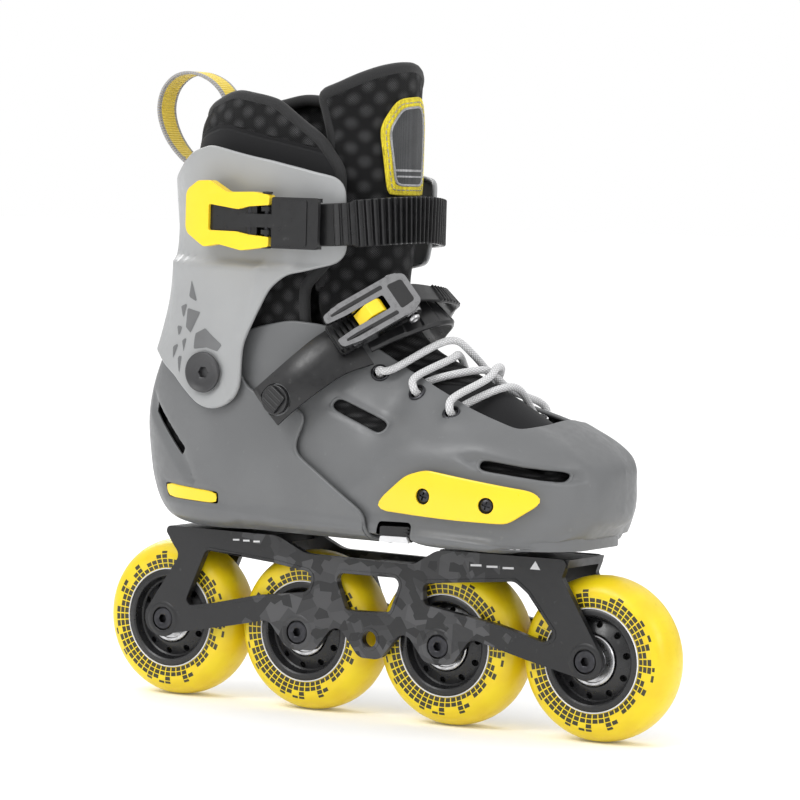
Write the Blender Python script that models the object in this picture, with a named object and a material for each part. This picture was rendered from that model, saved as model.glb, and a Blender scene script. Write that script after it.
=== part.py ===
"""Inline skate for a right foot, a children's boot that adjusts over four sizes.

Every length here is in millimetres, and make() turns it into metres. +X points to the toe, +Y to the
inner side of the foot and +Z up. The wheels stand on z = 0, y = 0 is the plane of the wheels, and x = 0 is
the middle of the wheelbase. The boot stands at its smallest size.
"""

import math

import bmesh
import bpy
import numpy as np
from mathutils import Matrix, Vector, geometry
from mathutils.bvhtree import BVHTree

MM = 0.001
GAP = 0.3

# Wheels and axles
WHEEL_RADIUS = 36.0
WHEEL_WIDTH = 24.0
WHEEL_PITCH = 73.0
AXLE_X = [WHEEL_PITCH * (i - 1.5) for i in range(4)]
CORE_RADIUS = 22.0
BEARING_OUTER = 11.0
BEARING_BORE = 4.0
BEARING_WIDTH = 7.0

# Frame
RAIL_OUTER = 17.0
RAIL_THICK = 3.2
BOSS_INNER = 12.1
DECK_TOP = 78.7
DECK_THICK = 3.6

# Boot layers, measured from the outer face of the heel shell, outward positive
SHELL_THICK = 2.0
TOE_INSET = -3.2
LINER_INSET = -6.4
LINER_THICK = 4.0
CUFF_OUT = 3.6
CUFF_THICK = 2.2
ROWS = 34
COLUMNS = 28
PIVOT = (-73.0, 151.5)
SIZE_TRAVEL = 20.0

# Front-top point, back-bottom point and six half widths of each section of the boot
GIRTH = (0.0, 0.12, 0.3, 0.5, 0.7, 0.86, 0.96, 1.0)
SECTIONS = (
    ((115, 116), (115, 99), (0, 0, 0, 0, 0, 0)),
    ((113.5, 120), (113.5, 94.5), (9, 12.5, 14, 13.5, 12, 8)),
    ((109, 124.5), (109, 90.5), (17, 22.5, 24.5, 24.5, 22, 16)),
    ((100, 131), (100, 81), (25, 33, 35.5, 35.5, 32.5, 28.5)),
    ((85, 139), (85, 79.5), (26, 39, 42.5, 43, 41.5, 39.5)),
    ((60, 153.5), (60, 79.5), (19, 37, 45, 46.5, 44.6, 42.5)),
    ((40, 163.5), (35, 79.5), (16.5, 32, 43.5, 46, 44.3, 42)),
    ((26, 170), (0, 79.5), (17, 30.5, 40.5, 43.5, 41.8, 39)),
    ((18, 177), (-30, 79.5), (18, 33, 39.5, 41, 39.2, 36.5)),
    ((13.5, 184), (-65, 79.5), (22, 35, 39, 39.5, 37.5, 33)),
    ((11, 191), (-97, 79.5), (26, 37, 38.5, 38, 35.5, 28)),
    ((10, 198), (-116, 88), (28.5, 37.8, 38.5, 36.5, 31, 19.5)),
    ((9.5, 205), (-123, 108), (30, 38, 38.5, 36.5, 29.5, 17.5)),
    ((9, 211), (-124.5, 130), (31, 38, 38.5, 36.5, 29, 17)),
    ((9, 217), (-119.5, 150), (32, 38, 38.5, 36, 28, 16)),
    ((9, 223), (-113.5, 170), (33, 38, 38.5, 35.5, 27, 15.5)),
    ((9, 230), (-109.5, 190), (33, 38, 38.5, 35.5, 27, 15.5)),
    ((9, 238), (-107, 210), (33.5, 38, 38.5, 35.5, 27, 15.5)),
    ((9, 248), (-108, 230), (34, 38.5, 39, 36, 27.5, 16)),
    ((9, 260), (-108.5, 247), (34, 39, 39.5, 36.5, 28, 16)),
    ((9, 274), (-105, 262), (33, 39, 39.5, 36.5, 28, 16)),
    ((9, 292), (-97, 278), (31, 38, 39.5, 36.5, 28, 16)),
)
CENTRE_LINE_SHIFT = ((-130, 0.0), (30, 0.0), (80, 2.0), (116, 5.0))

GREY = ((0.155, 0.16, 0.165), 0.45, 0.0)
LIGHT_GREY = ((0.42, 0.425, 0.43), 0.4, 0.0)
YELLOW = ((0.92, 0.72, 0.02), 0.38, 0.0)
BLACK = ((0.016, 0.016, 0.018), 0.42, 0.0)
MESH_BLACK = ((0.014, 0.014, 0.015), 0.85, 0.0)
STEEL = ((0.6, 0.6, 0.61), 0.28, 1.0)
DARK_CHROME = ((0.25, 0.25, 0.26), 0.22, 1.0)
WHITE = ((0.82, 0.82, 0.82), 0.7, 0.0)


# ---------------------------------------------------------------- scene and objects


def clear_scene():
    for obj in list(bpy.data.objects):
        bpy.data.objects.remove(obj, do_unlink=True)


def material(name, finish):
    found = bpy.data.materials.get(name)
    if found:
        return found
    colour, roughness, metallic = finish
    made = bpy.data.materials.new(name)
    made.use_nodes = True
    shader = made.node_tree.nodes["Principled BSDF"]
    shader.inputs["Base Color"].default_value = (*colour, 1.0)
    shader.inputs["Roughness"].default_value = roughness
    shader.inputs["Metallic"].default_value = metallic
    made.diffuse_color = (*colour, 1.0)
    return made


def make(name, bm, finish, origin=(0, 0, 0), smooth=True):
    """Turns a bmesh in millimetres into an object in metres whose origin is at the given point."""
    bmesh.ops.translate(bm, verts=bm.verts, vec=-Vector(origin))
    bmesh.ops.scale(bm, verts=bm.verts, vec=(MM, MM, MM))
    mesh = bpy.data.meshes.new(name)
    bm.to_mesh(mesh)
    bm.free()
    if smooth:
        mesh.shade_smooth()
        mesh.set_sharp_from_angle(angle=math.radians(35))
    mesh.materials.append(material(name + "_finish", finish))
    obj = bpy.data.objects.new(name, mesh)
    obj.location = Vector(origin) * MM
    bpy.context.scene.collection.objects.link(obj)
    return obj


def solidify(obj, thickness):
    """Gives a surface its thickness, inward from the faces."""
    modifier = obj.modifiers.new("thickness", "SOLIDIFY")
    modifier.thickness = thickness * MM
    modifier.offset = -1.0
    modifier.use_even_offset = True
    modifier.thickness_clamp = 2.0
    return obj


def cut(obj, *cutters, operation="DIFFERENCE"):
    for cutter in cutters:
        cutter.hide_render = True
        cutter.display_type = "WIRE"
        modifier = obj.modifiers.new("cut_" + cutter.name, "BOOLEAN")
        modifier.operation = operation
        modifier.solver = "EXACT"
        modifier.object = cutter
    return obj


# ---------------------------------------------------------------- curves and outlines


def spline(points, count, closed=False):
    """count points on a smooth curve through the given ones (Catmull-Rom), for arrays of any shape."""
    p = np.asarray(points, float)
    n = len(p)
    if closed:
        s = np.arange(count) * n / count
        i = s.astype(int)
        before, here, after, beyond = (p[(i + k) % n] for k in (-1, 0, 1, 2))
    else:
        ends = np.concatenate([[2 * p[0] - p[1]], p, [2 * p[-1] - p[-2]]])
        s = np.linspace(0, n - 1, count)
        i = np.minimum(s.astype(int), n - 2)
        before, here, after, beyond = (ends[i + k] for k in range(4))
    u = (s - i).reshape([-1] + [1] * (p.ndim - 1))
    return 0.5 * (
        2 * here
        + (after - before) * u
        + (2 * before - 5 * here + 4 * after - beyond) * u**2
        + (3 * here - before - 3 * after + beyond) * u**3
    )


def rounded(corners, step=25.0):
    """The outline of a polygon whose corners (x, z, radius) are rounded by arcs."""
    outline = []
    points = [Vector(c[:2]) for c in corners]
    for i, corner in enumerate(corners):
        here, radius = points[i], corner[2] if len(corner) > 2 else 0.0
        back = (points[i - 1] - here).normalized()
        ahead = (points[(i + 1) % len(points)] - here).normalized()
        half = back.angle(ahead) / 2
        if radius <= 0 or half > math.radians(88):
            outline.append(tuple(here))
            continue
        room = min((points[i - 1] - here).length, (points[(i + 1) % len(points)] - here).length)
        radius = min(radius, 0.45 * room * math.tan(half))
        centre = here + (back + ahead).normalized() * (radius / math.sin(half))
        start = here + back * (radius / math.tan(half)) - centre
        end = here + ahead * (radius / math.tan(half)) - centre
        turn = start.angle_signed(end)
        arcs = max(1, math.ceil(abs(turn) / math.radians(step)))
        for k in range(arcs + 1):
            outline.append(tuple(centre + Matrix.Rotation(-turn * k / arcs, 2) @ start))
    return outline


def circle(x, z, radius, sides, phase=0.0):
    angles = [2 * math.pi * (k + phase) / sides for k in range(sides)]
    return [(x + radius * math.cos(a), z + radius * math.sin(a)) for a in angles]


def distance_inside(outline):
    """A function of arrays x, z: how far each point is inside the outline, negative outside."""
    a = np.array([p[:2] for p in outline], float)
    b = np.roll(a, -1, axis=0)
    ab = b - a
    length2 = np.maximum((ab**2).sum(1), 1e-12)

    def field(x, z):
        p = np.stack([x, z], -1)[:, None, :]
        t = np.clip(((p - a) * ab).sum(-1) / length2, 0, 1)
        near = np.sqrt((((p - a) - ab * t[..., None]) ** 2).sum(-1)).min(1)
        crosses = (a[:, 1] > p[..., 1]) != (b[:, 1] > p[..., 1])
        rise = np.where(np.abs(ab[:, 1]) < 1e-12, 1e-12, ab[:, 1])
        at = a[:, 0] + (p[..., 1] - a[:, 1]) / rise * ab[:, 0]
        odd = (crosses & (p[..., 0] < at)).sum(1) % 2 == 1
        return np.where(odd, near, -near)

    return field


# ---------------------------------------------------------------- solids


def frame_axes(path):
    """The tangent of a path at each of its points."""
    path = [Vector(p) for p in path]
    ends = range(len(path))
    return [(path[min(i + 1, ends[-1])] - path[max(i - 1, 0)]).normalized() for i in ends]


def prism(outline, y0, y1, holes=()):
    """A plate between y0 and y1 whose outline and holes are (x, z) points."""
    loops = [list(outline), *[list(h) for h in holes]]
    flat = [[Vector((x, z, 0)) for x, z in loop] for loop in loops]
    triangles = geometry.tessellate_polygon(flat)
    points = [p for loop in loops for p in loop]
    bm = bmesh.new()
    near = [bm.verts.new((x, min(y0, y1), z)) for x, z in points]
    far = [bm.verts.new((x, max(y0, y1), z)) for x, z in points]
    for side in (near, far):
        for t in triangles:
            bm.faces.new([side[i] for i in t])
    first = 0
    for loop in loops:
        for k in range(len(loop)):
            i, j = first + k, first + (k + 1) % len(loop)
            bm.faces.new((near[i], near[j], far[j], far[i]))
        first += len(loop)
    bmesh.ops.recalc_face_normals(bm, faces=bm.faces)
    return bm


def place(bm, origin, e1, e2, n):
    """Moves a prism made in (x, y, z) so that x runs along e1, z along e2 and -y along n."""
    turn = Matrix((Vector(e1), -Vector(n), Vector(e2))).transposed().to_4x4()
    bmesh.ops.transform(bm, verts=bm.verts, matrix=Matrix.Translation(Vector(origin)) @ turn)
    bmesh.ops.recalc_face_normals(bm, faces=bm.faces)
    return bm


def turned(profile, sides, centre, phase=0.5, socket=0.0):
    """A solid turned about a line along Y. The profile is a closed loop of (radius, y), or ends on the axis.

    Radii below socket follow a hexagon instead of a circle.
    """
    bm = bmesh.new()
    rings = []
    for radius, y in profile:
        if radius < 1e-6:
            rings.append([bm.verts.new((centre[0], centre[1] + y, centre[2]))])
            continue
        ring = []
        for k in range(sides):
            angle = 2 * math.pi * (k + phase) / sides
            r = radius
            if radius < socket:
                r = radius * math.cos(math.pi / 6) / math.cos(angle % (math.pi / 3) - math.pi / 6)
            ring.append(
                bm.verts.new((centre[0] + r * math.cos(angle), centre[1] + y, centre[2] + r * math.sin(angle)))
            )
        rings.append(ring)
    closed = profile[0][0] > 1e-6
    for a, b in zip(rings, rings[1:] + rings[:1] if closed else rings[1:]):
        for k in range(sides):
            loop = [a[k % len(a)], a[(k + 1) % len(a)], b[(k + 1) % len(b)], b[k % len(b)]]
            bm.faces.new(list(dict.fromkeys(loop)))
    bmesh.ops.recalc_face_normals(bm, faces=bm.faces)
    return bm


def band(path, across, width, thick, rib=None):
    """A strap along a path: width along `across`, thick outward. rib(i) adds to the thickness at point i."""
    bm = bmesh.new()
    across_all = across if isinstance(across, list) else [across] * len(path)
    rings = []
    for i, (point, tangent) in enumerate(zip(path, frame_axes(path))):
        side = Vector(across_all[i])
        side = (side - tangent * side.dot(tangent)).normalized()
        out = tangent.cross(side).normalized()
        half = width(i / (len(path) - 1)) / 2 if callable(width) else width / 2
        high = thick + (rib(i) if rib else 0.0)
        corners = ((-half, 0), (half, 0), (half, high), (-half, high))
        rings.append([bm.verts.new(Vector(point) + side * a + out * b) for a, b in corners])
    for a, b in zip(rings, rings[1:]):
        for k in range(4):
            bm.faces.new((a[k], a[(k + 1) % 4], b[(k + 1) % 4], b[k]))
    bm.faces.new(rings[0])
    bm.faces.new(rings[-1])
    bmesh.ops.recalc_face_normals(bm, faces=bm.faces)
    return bm


def rod(start, end, radius, sides=10):
    bm = bmesh.new()
    start, end = Vector(start), Vector(end)
    axis = end - start
    bmesh.ops.create_cone(
        bm, cap_ends=True, segments=sides, radius1=radius, radius2=radius, depth=axis.length
    )
    turn = axis.to_track_quat("Z", "Y").to_matrix().to_4x4()
    bmesh.ops.transform(bm, verts=bm.verts, matrix=Matrix.Translation((start + end) / 2) @ turn)
    return bm


# ---------------------------------------------------------------- the boot's surface


def boot_grid(rows=ROWS, columns=COLUMNS):
    """Points of the boot's outer surface: rows from the toe to the top, columns round each section."""
    sections = []
    for (fx, fz), (bx, bz), widths in SECTIONS:
        outer = [(fx + (bx - fx) * t, w, fz + (bz - fz) * t) for t, w in zip(GIRTH, (0, *widths, 0))]
        lateral = [(x, -y, z) for x, y, z in outer]
        sections.append(lateral + outer[-2:0:-1])
    rings = spline(sections, rows)
    grid = spline(rings.transpose(1, 0, 2), columns, closed=True).transpose(1, 0, 2)
    at, shift = zip(*CENTRE_LINE_SHIFT)
    grid[..., 1] += np.interp(grid[..., 0], at, shift)
    return grid


def grid_normals(grid):
    along = np.gradient(grid, axis=0)
    around = (np.roll(grid, -1, axis=1) - np.roll(grid, 1, axis=1)) / 2
    normal = np.cross(around, along)
    length = np.linalg.norm(normal, axis=-1, keepdims=True)
    normal = normal / np.maximum(length, 1e-9)
    normal[0] = (1, 0, 0)
    centre = grid.mean(axis=1, keepdims=True)
    flip = np.sign(((grid - centre) * normal).sum(-1)[len(grid) // 2].mean())
    normal[1:] *= flip
    return normal


def boot_surface(offset, rows=ROWS, columns=COLUMNS):
    """The boot's surface moved outward by offset(x, y, z), as a bmesh whose points carry row and girth."""
    grid = boot_grid(rows, columns)
    out = offset(*np.moveaxis(grid, -1, 0)) if callable(offset) else np.full(grid.shape[:2], offset)
    grid = grid + grid_normals(grid) * out[..., None]
    bm = bmesh.new()
    row_layer = bm.verts.layers.float.new("row")
    girth_layer = bm.verts.layers.float.new("girth")
    verts = []
    for i, line in enumerate(grid):
        verts.append([])
        for j, point in enumerate(line):
            v = bm.verts.new(point)
            v[row_layer] = i / (rows - 1)
            v[girth_layer] = 1 - abs(1 - 2 * j / columns)
            verts[-1].append(v)
    for a, b in zip(verts, verts[1:]):
        for j in range(columns):
            k = (j + 1) % columns
            bm.faces.new((a[j], a[k], b[k], b[j]))
    bmesh.ops.remove_doubles(bm, verts=bm.verts, dist=0.05)
    bmesh.ops.recalc_face_normals(bm, faces=bm.faces)
    if sum(f.normal.dot(f.calc_center_median() - Vector((-40, 0, 140))) for f in bm.faces) < 0:
        bmesh.ops.reverse_faces(bm, faces=bm.faces)
    return bm


def trim(bm, field):
    """Cuts a surface along field = 0 and keeps the part where it is positive.

    field takes arrays x, y, z, row and girth.
    """
    bm.verts.ensure_lookup_table()
    row, girth = bm.verts.layers.float["row"], bm.verts.layers.float["girth"]

    def values():
        data = np.array([(*v.co, v[row], v[girth]) for v in bm.verts])
        return dict(zip(bm.verts, field(*data.T)))

    value = values()
    for edge in bm.edges:
        a, b = edge.verts
        if value[a] * value[b] < 0:
            near, far = (a, b) if abs(value[a]) < abs(value[b]) else (b, a)
            share = value[near] / (value[near] - value[far])
            if share < 0.15:
                near.co = near.co.lerp(far.co, share)
                value[near] = 0.0
    fresh = [v for v in bm.verts if value[v] == 0.0]
    for edge in list(bm.edges):
        a, b = edge.verts
        if value[a] * value[b] < 0:
            _, made = bmesh.utils.edge_split(edge, a, value[a] / (value[a] - value[b]))
            value[made] = 0.0
            fresh.append(made)
    bmesh.ops.connect_verts(bm, verts=fresh)
    lost = [f for f in bm.faces if sum(value[v] for v in f.verts) <= 0]
    bmesh.ops.delete(bm, geom=lost, context="FACES")
    bmesh.ops.delete(bm, geom=[v for v in bm.verts if not v.link_faces], context="VERTS")
    return bm


def cover(tree, outline, step, out, side):
    """A patch over the part of a surface that lies behind an outline in side view, lifted off it by out."""
    x, z = np.array([p[:2] for p in outline]).T
    xs = np.linspace(x.min() - 1, x.max() + 1, max(4, round((x.max() - x.min()) / step) + 2))
    zs = np.linspace(z.min() - 1, z.max() + 1, max(4, round((z.max() - z.min()) / step) + 2))
    bm = bmesh.new()
    for name in ("row", "girth"):
        bm.verts.layers.float.new(name)
    verts = []
    for px in xs:
        for pz in zs:
            hit, normal, _, _ = tree.ray_cast(Vector((px, side * 200, pz)), Vector((0, -side, 0)))
            verts.append(bm.verts.new(hit + normal * out if hit else (px, side * 40, pz)))
    for i in range(len(xs) - 1):
        for j in range(len(zs) - 1):
            k = i * len(zs) + j
            loop = [verts[k], verts[k + len(zs)], verts[k + len(zs) + 1], verts[k + 1]]
            bm.faces.new(loop if side < 0 else loop[::-1])
    inside = distance_inside(outline)
    return trim(bm, lambda px, py, pz, r, g: inside(px, pz))


# ---------------------------------------------------------------- wheels


def tyre(number, x):
    half = WHEEL_WIDTH / 2
    crown = [(CORE_RADIUS + 0.5, -half + 1.0), (28.0, -half)]
    crown += [(28.0 + 8.0 * math.sin(a), -half * math.cos(a) ** 0.85) for a in (0.5, 0.95, 1.3)]
    profile = crown + [(WHEEL_RADIUS, -1.8)]
    profile = profile + [(r, -y) for r, y in reversed(profile)]
    sides = 28
    apothem = math.cos(math.pi / sides)
    profile = [(r / apothem if r > CORE_RADIUS + 1 else r, y) for r, y in profile]
    make(f"tyre_{number}", turned(profile, sides, (x, 0, WHEEL_RADIUS)), YELLOW, (x, 0, WHEEL_RADIUS))


def hub(number, x):
    half = WHEEL_WIDTH / 2
    bore, web = BEARING_OUTER + GAP, 4.0
    side = [(CORE_RADIUS, -half + 0.6), (CORE_RADIUS - 2.5, -half), (CORE_RADIUS - 4.5, -half + 4.5)]
    side += [(bore + 2.4, -half + 3.0), (bore, -half + 2.0), (bore, -web), (bore - 2.6, -web + 0.3)]
    profile = side + [(r, -y) for r, y in reversed(side)]
    make(f"hub_{number}", turned(profile, 20, (x, 0, WHEEL_RADIUS)), BLACK, (x, 0, WHEEL_RADIUS))


def bearings(number, x):
    start = 4.2
    for side, label in ((-1, "outer"), (1, "inner")):
        a, b = side * start, side * (start + BEARING_WIDTH)
        profile = [(BEARING_OUTER, a), (BEARING_OUTER, b), (BEARING_BORE + 0.3, b), (BEARING_BORE + 0.3, a)]
        body = turned(profile, 16, (x, 0, WHEEL_RADIUS))
        make(f"bearing_{number}_{label}", body, STEEL, (x, 0, WHEEL_RADIUS))


def axle(number, x):
    head, face = 5.0, RAIL_OUTER + 0.4
    profile = [(0, -face + 3.0), (2.1, -face + 3.0), (2.1, -face), (head, -face), (head, -face + 1.6)]
    profile += [(BEARING_BORE - 0.15, -face + 1.6), (BEARING_BORE - 0.15, -3.8), (5.2, -3.8)]
    profile += [(r, -y) for r, y in reversed(profile)]
    body = turned(profile, 12, (x, 0, WHEEL_RADIUS), phase=0.0, socket=2.2)
    make(f"axle_{number}", body, BLACK, (x, 0, WHEEL_RADIUS))


# ---------------------------------------------------------------- frame

RAIL = (
    (-110.5, 79, 4), (-48, 78.6, 14), (-33, 71.6, 14), (23, 71, 8), (35, 78.4, 12), (100, 79, 2.5),
    (97, 71, 2), (126.3, 24.5, 7.8), (81, 34.2, 30), (53, 41, 5), (43.5, 28.3, 6), (30, 28.3, 6),
    (19, 42.5, 5), (7, 27.6, 6), (-4, 27.6, 6), (-16, 42.5, 5), (-27.5, 28.4, 6), (-42, 28.4, 6),
    (-52, 40.3, 5), (-70, 36.4, 40), (-128.5, 25.0, 7.8), (-101, 66, 4), (-105, 71, 3),
)
WINDOWS = (
    ((-86.5, 69.2, 3), (-50, 66.2, 6), (-28.5, 63.2, 4), (-31.5, 54.6, 4), (-58, 51, 12), (-84, 45, 20), (-98, 43, 2.5)),
    ((-17.5, 64.4, 3), (17, 64.4, 3), (11.4, 48.8, 3), (-11, 48.2, 3)),
    ((28.2, 63.2, 3), (74, 67.6, 5), (80.5, 63, 4), (95, 45.5, 2.5), (89, 42.6, 3), (68, 48, 20), (29, 54, 3)),
)


def rail(name, side):
    holes = [rounded(w, 60) for w in WINDOWS] + [circle(1.5, 36.2, 3.6, 10)]
    holes += [circle(x, WHEEL_RADIUS, 5.4, 12, 0.2 + 0.15 * i) for i, x in enumerate(AXLE_X)]
    inner, outer = side * (RAIL_OUTER - RAIL_THICK), side * RAIL_OUTER
    return make(name, prism(rounded(RAIL, 40), inner, outer, holes), BLACK, smooth=False)


def boss(name, x, side):
    """Closes the rail's hole down to the axle's size from the inside, which leaves a counterbore outside."""
    profile = [(4.15, 0), (4.15, 3.6), (7.6, 3.6), (7.6, 2.5), (6.2, 0)]
    start = side * BOSS_INNER
    profile = [(r, start + side * y) for r, y in profile]
    return make(name, turned(profile, 12, (x, 0, WHEEL_RADIUS), phase=0.0), BLACK)


def deck(name, x0, x1, slope0, slope1):
    bottom = DECK_TOP - DECK_THICK
    outline = [(x0, DECK_TOP), (x1, DECK_TOP), (x1 - slope1, bottom), (x0 + slope0, bottom)]
    inner = RAIL_OUTER - 1.0
    return make(name, prism(outline, -inner, inner), BLACK, smooth=False)


def frame():
    body = rail("frame", -1)
    parts = [rail("rail_inner_side", 1)]
    parts += [boss(f"boss_{i}_{s}", x, s) for i, x in enumerate(AXLE_X) for s in (-1, 1)]
    parts += [deck("deck_rear", -108, -50, 1, -2), deck("deck_front", 36, 100, -2, 1)]
    parts += [make("bridge", prism(rounded(((-9, 69, 1), (9, 69, 1), (9, 65.6, 1), (-9, 65.6, 1))), -15, 15), BLACK)]
    cut(body, *parts, operation="UNION")
    bolts = [rod((x, 0, 60), (x, 0, 90), 3.2, 12) for x in FRAME_BOLT_X]
    holes = [make(f"bolt_hole_{i}", b, BLACK) for i, b in enumerate(bolts)]
    cut(body, *holes)


FRAME_BOLT_X = (-79.0, 68.0)


def frame_bolts():
    for name, x in zip(("frame_bolt_rear", "frame_bolt_front"), FRAME_BOLT_X):
        profile = [(0, 3.2), (2.0, 3.2), (2.0, 0), (5.0, 0), (5.0, 3.0), (2.9, 3.0), (2.9, 9.4), (0, 9.4)]
        body = turned(profile, 12, (0, 0, 0), phase=0.0, socket=2.1)
        bmesh.ops.transform(body, verts=body.verts, matrix=Matrix.Rotation(math.pi / 2, 4, "X"))
        bmesh.ops.translate(body, verts=body.verts, vec=(x, 0, DECK_TOP - DECK_THICK - 3.3))
        make(name, body, STEEL, (x, 0, DECK_TOP))


# ---------------------------------------------------------------- shells, cuff, liner and tongue

HEEL_OUTLINE = (
    (15.5, 60), (15.5, 82, 3), (12, 94.5, 5), (-27, 119.5, 6), (-20.5, 136, 4), (-52, 145, 10), (-58, 154, 4),
    (-60, 170, 6), (-92, 177, 6), (-140, 177), (-140, 60),
)
TOE_OUTLINE = (
    (140, 60), (140, 150), (91, 142), (86, 136.5, 3), (80, 134.5, 8), (55, 142.3, 30), (17, 157.5, 30), (-3, 170, 12),
    (-18, 175, 12), (-33, 176.3, 20), (-56, 171.5, 20), (-66, 160, 8), (-50, 118, 10), (-22, 95, 8), (-22, 60),
)
CUFF_OUTLINE = (
    (-140, 236), (-106, 237.5, 20), (-87, 249.5, 12), (-74, 252.6, 12), (-50, 247.8, 40), (2, 239, 7),
    (2, 202, 9), (-29, 196.5, 8), (-40, 190, 10), (-53.5, 164, 10), (-54, 140, 13), (-73, 133, 17),
    (-92, 149, 12), (-108, 158, 15), (-140, 163),
)


def toe_offset(x, y, z):
    """The toe shell runs under the heel shell behind the seam and comes up level with it further forward."""
    return TOE_INSET * np.clip((34 - x) / 16, 0, 1)


def heel_offset(x, y, z):
    """The hidden top of the heel shell leans inward, to leave room for the cuff to swing."""
    return -3.4 * np.clip((z - 158 + 0.12 * (x + 76)) / 12, 0, 1) * np.clip((-56 - x) / 6, 0, 1)


def slot_cutter(name, outline):
    return make(name, prism(rounded(outline, 40), -70, 70), BLACK)


def heel_shell():
    bm = boot_surface(heel_offset)
    inside = distance_inside(rounded(HEEL_OUTLINE))
    trim(bm, lambda x, y, z, row, girth: inside(x, z))
    shell = solidify(make("heel_shell", bm, GREY), SHELL_THICK)
    vent = slot_cutter("heel_vent", ((-107.5, 137, 1), (-109, 131.5, 1), (-90, 113, 1), (-87, 116.5, 1)))
    insert = slot_cutter("heel_insert_slot", ((-102.2, 100.1, 1.5), (-67.9, 98, 1.5), (-67.9, 92.6, 1.5), (-100.2, 93.6, 1.5)))
    holes = [make(f"frame_hole_{i}", rod((x, 0, 70), (x, 0, 95), 3.3, 12), BLACK) for i, x in enumerate(FRAME_BOLT_X[:1])]
    holes += [
        make(f"pivot_hole_{i}", rod((PIVOT[0], s * 25, PIVOT[1]), (PIVOT[0], s * 60, PIVOT[1]), 4.4, 12), BLACK)
        for i, s in enumerate((-1, 1))
    ]
    cut(shell, vent, insert, *holes)
    return shell


EYELETS = {
    -1: ((7.5, 154.6), (27, 147), (47.5, 139.4)),
    1: ((23.5, 150.3), (41.5, 143.2), (58.5, 136.4)),
}


def toe_shell(tree):
    bm = boot_surface(toe_offset)
    inside = distance_inside(rounded(TOE_OUTLINE))
    trim(bm, lambda x, y, z, row, girth: inside(x, z))
    shell = solidify(make("toe_shell", bm, GREY), SHELL_THICK)
    window = slot_cutter("button_window", ((18.5, 91.5, 2), (36, 92, 2), (37.5, 81.8, 1.5), (18.5, 81.8, 1.5)))
    vent = slot_cutter("side_vent", ((-12, 139.5, 1), (-8, 143, 1), (18, 133, 1), (14, 129.3, 1)))
    slot = slot_cutter("toe_vent", ((68, 120.5, 1), (104, 116.2, 1), (102, 113.7, 1), (68, 117.5, 1)))
    ahead, behind = FRAME_BOLT_X[1] + 3.5, FRAME_BOLT_X[1] - SIZE_TRAVEL - 3.5
    sole_slot = prism(rounded([(x, y, 3.4) for x, y in
                               ((behind, -3.5), (ahead, -3.5), (ahead, 3.5), (behind, 3.5))], 40), -95, -70)
    bmesh.ops.transform(sole_slot, verts=sole_slot.verts, matrix=Matrix.Rotation(-math.pi / 2, 4, "X"))
    bolt = make("sole_slot", sole_slot, BLACK)
    holes = []
    for side in (-1, 1):
        for i, (point, out) in enumerate(eyelet_points(tree, side)):
            holes.append(make(f"eyelet_{side}_{i}", rod(point - out * 6, point + out * 5, 3.0, 10), BLACK))
    cut(shell, window, vent, slot, bolt, *holes)
    return shell


def surface_tree(offset):
    bm = boot_surface(offset, 3 * ROWS, 2 * COLUMNS)
    tree = BVHTree.FromBMesh(bm)
    bm.free()
    return tree


def eyelet_points(tree, side):
    """Where the lace passes through the toe shell on one side, and the way out there."""
    found = []
    for x, z in EYELETS[side]:
        hit, normal, _, _ = tree.ray_cast(Vector((x, side * 200, z)), Vector((0, -side, 0)))
        found.append((hit, normal))
    return found


def wing_shift(x, y):
    """The outer wing of the cuff ends further back than the inner one, which reaches round to the ladder."""
    return np.where(y < 0, 6.0, -1.0) * np.clip((x + 40) / 25, 0, 1)


def cuff():
    bm = boot_surface(CUFF_OUT)
    inside = distance_inside(rounded(CUFF_OUTLINE))
    trim(bm, lambda x, y, z, row, girth: np.minimum(inside(x + wing_shift(x, y), z), z - 120))
    shell = solidify(make("cuff", bm, LIGHT_GREY, (PIVOT[0], 0, PIVOT[1])), CUFF_THICK)
    holes = []
    for i, side in enumerate((-1, 1)):
        start, end = (PIVOT[0], side * 25, PIVOT[1]), (PIVOT[0], side * 60, PIVOT[1])
        holes.append(make(f"cuff_hole_{i}", rod(start, end, 5.2, 14), BLACK))
    cut(shell, *holes)


TONGUE_GIRTH = 0.235
WRAP_GIRTH = 0.15
TONGUE_START = 0.175
LINER_TOP = (
    (-140, 100), (-140, 262), (-104, 263, 15), (-88, 271, 15), (-68, 277, 20), (-44, 273, 20), (-20, 256, 20),
    (-5, 236, 20), (6, 200, 20), (60, 180), (160, 160), (160, 60), (-140, 60),
)


def liner():
    """The liner's lower corners are narrowed and its toe lifted, to stand clear of the shell's."""
    bm = boot_surface(LINER_INSET, 26, 28)
    for v in bm.verts:
        low = min(1, max(0, (103 - v.co.z) / 9))
        v.co.y *= 1 - 0.17 * low
        v.co.z += 1.2 * low * min(1, max(0, (v.co.x - 70) / 12))
    inside = distance_inside(rounded(LINER_TOP))

    def field(x, y, z, row, girth):
        edge = TONGUE_GIRTH + 0.02 + (WRAP_GIRTH - TONGUE_GIRTH - 0.02) * np.clip((z - 192) / 16, 0, 1)
        throat = np.maximum((girth - edge) * 100, (TONGUE_START - 0.01 - row) * 200)
        return np.minimum(inside(x, z), throat)

    trim(bm, field)
    solidify(make("liner", bm, MESH_BLACK), LINER_THICK)


def tongue_offset(x, y, z):
    """The tongue stands higher above the throat. Its sides sink under the flaps and the liner's front edges."""
    flaps = -3.8 * np.clip((np.abs(y) - 13) / 7, 0, 1) * np.clip((182 - z) / 10, 0, 1)
    wrap = -7.6 * np.clip((np.abs(y) - 21) / 6, 0, 1) * np.clip((z - 186) / 8, 0, 1) * np.clip((276 - z) / 14, 0, 1)
    return LINER_INSET + 2.2 * np.clip((z - 185) / 25, 0, 1) + flaps + wrap


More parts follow.
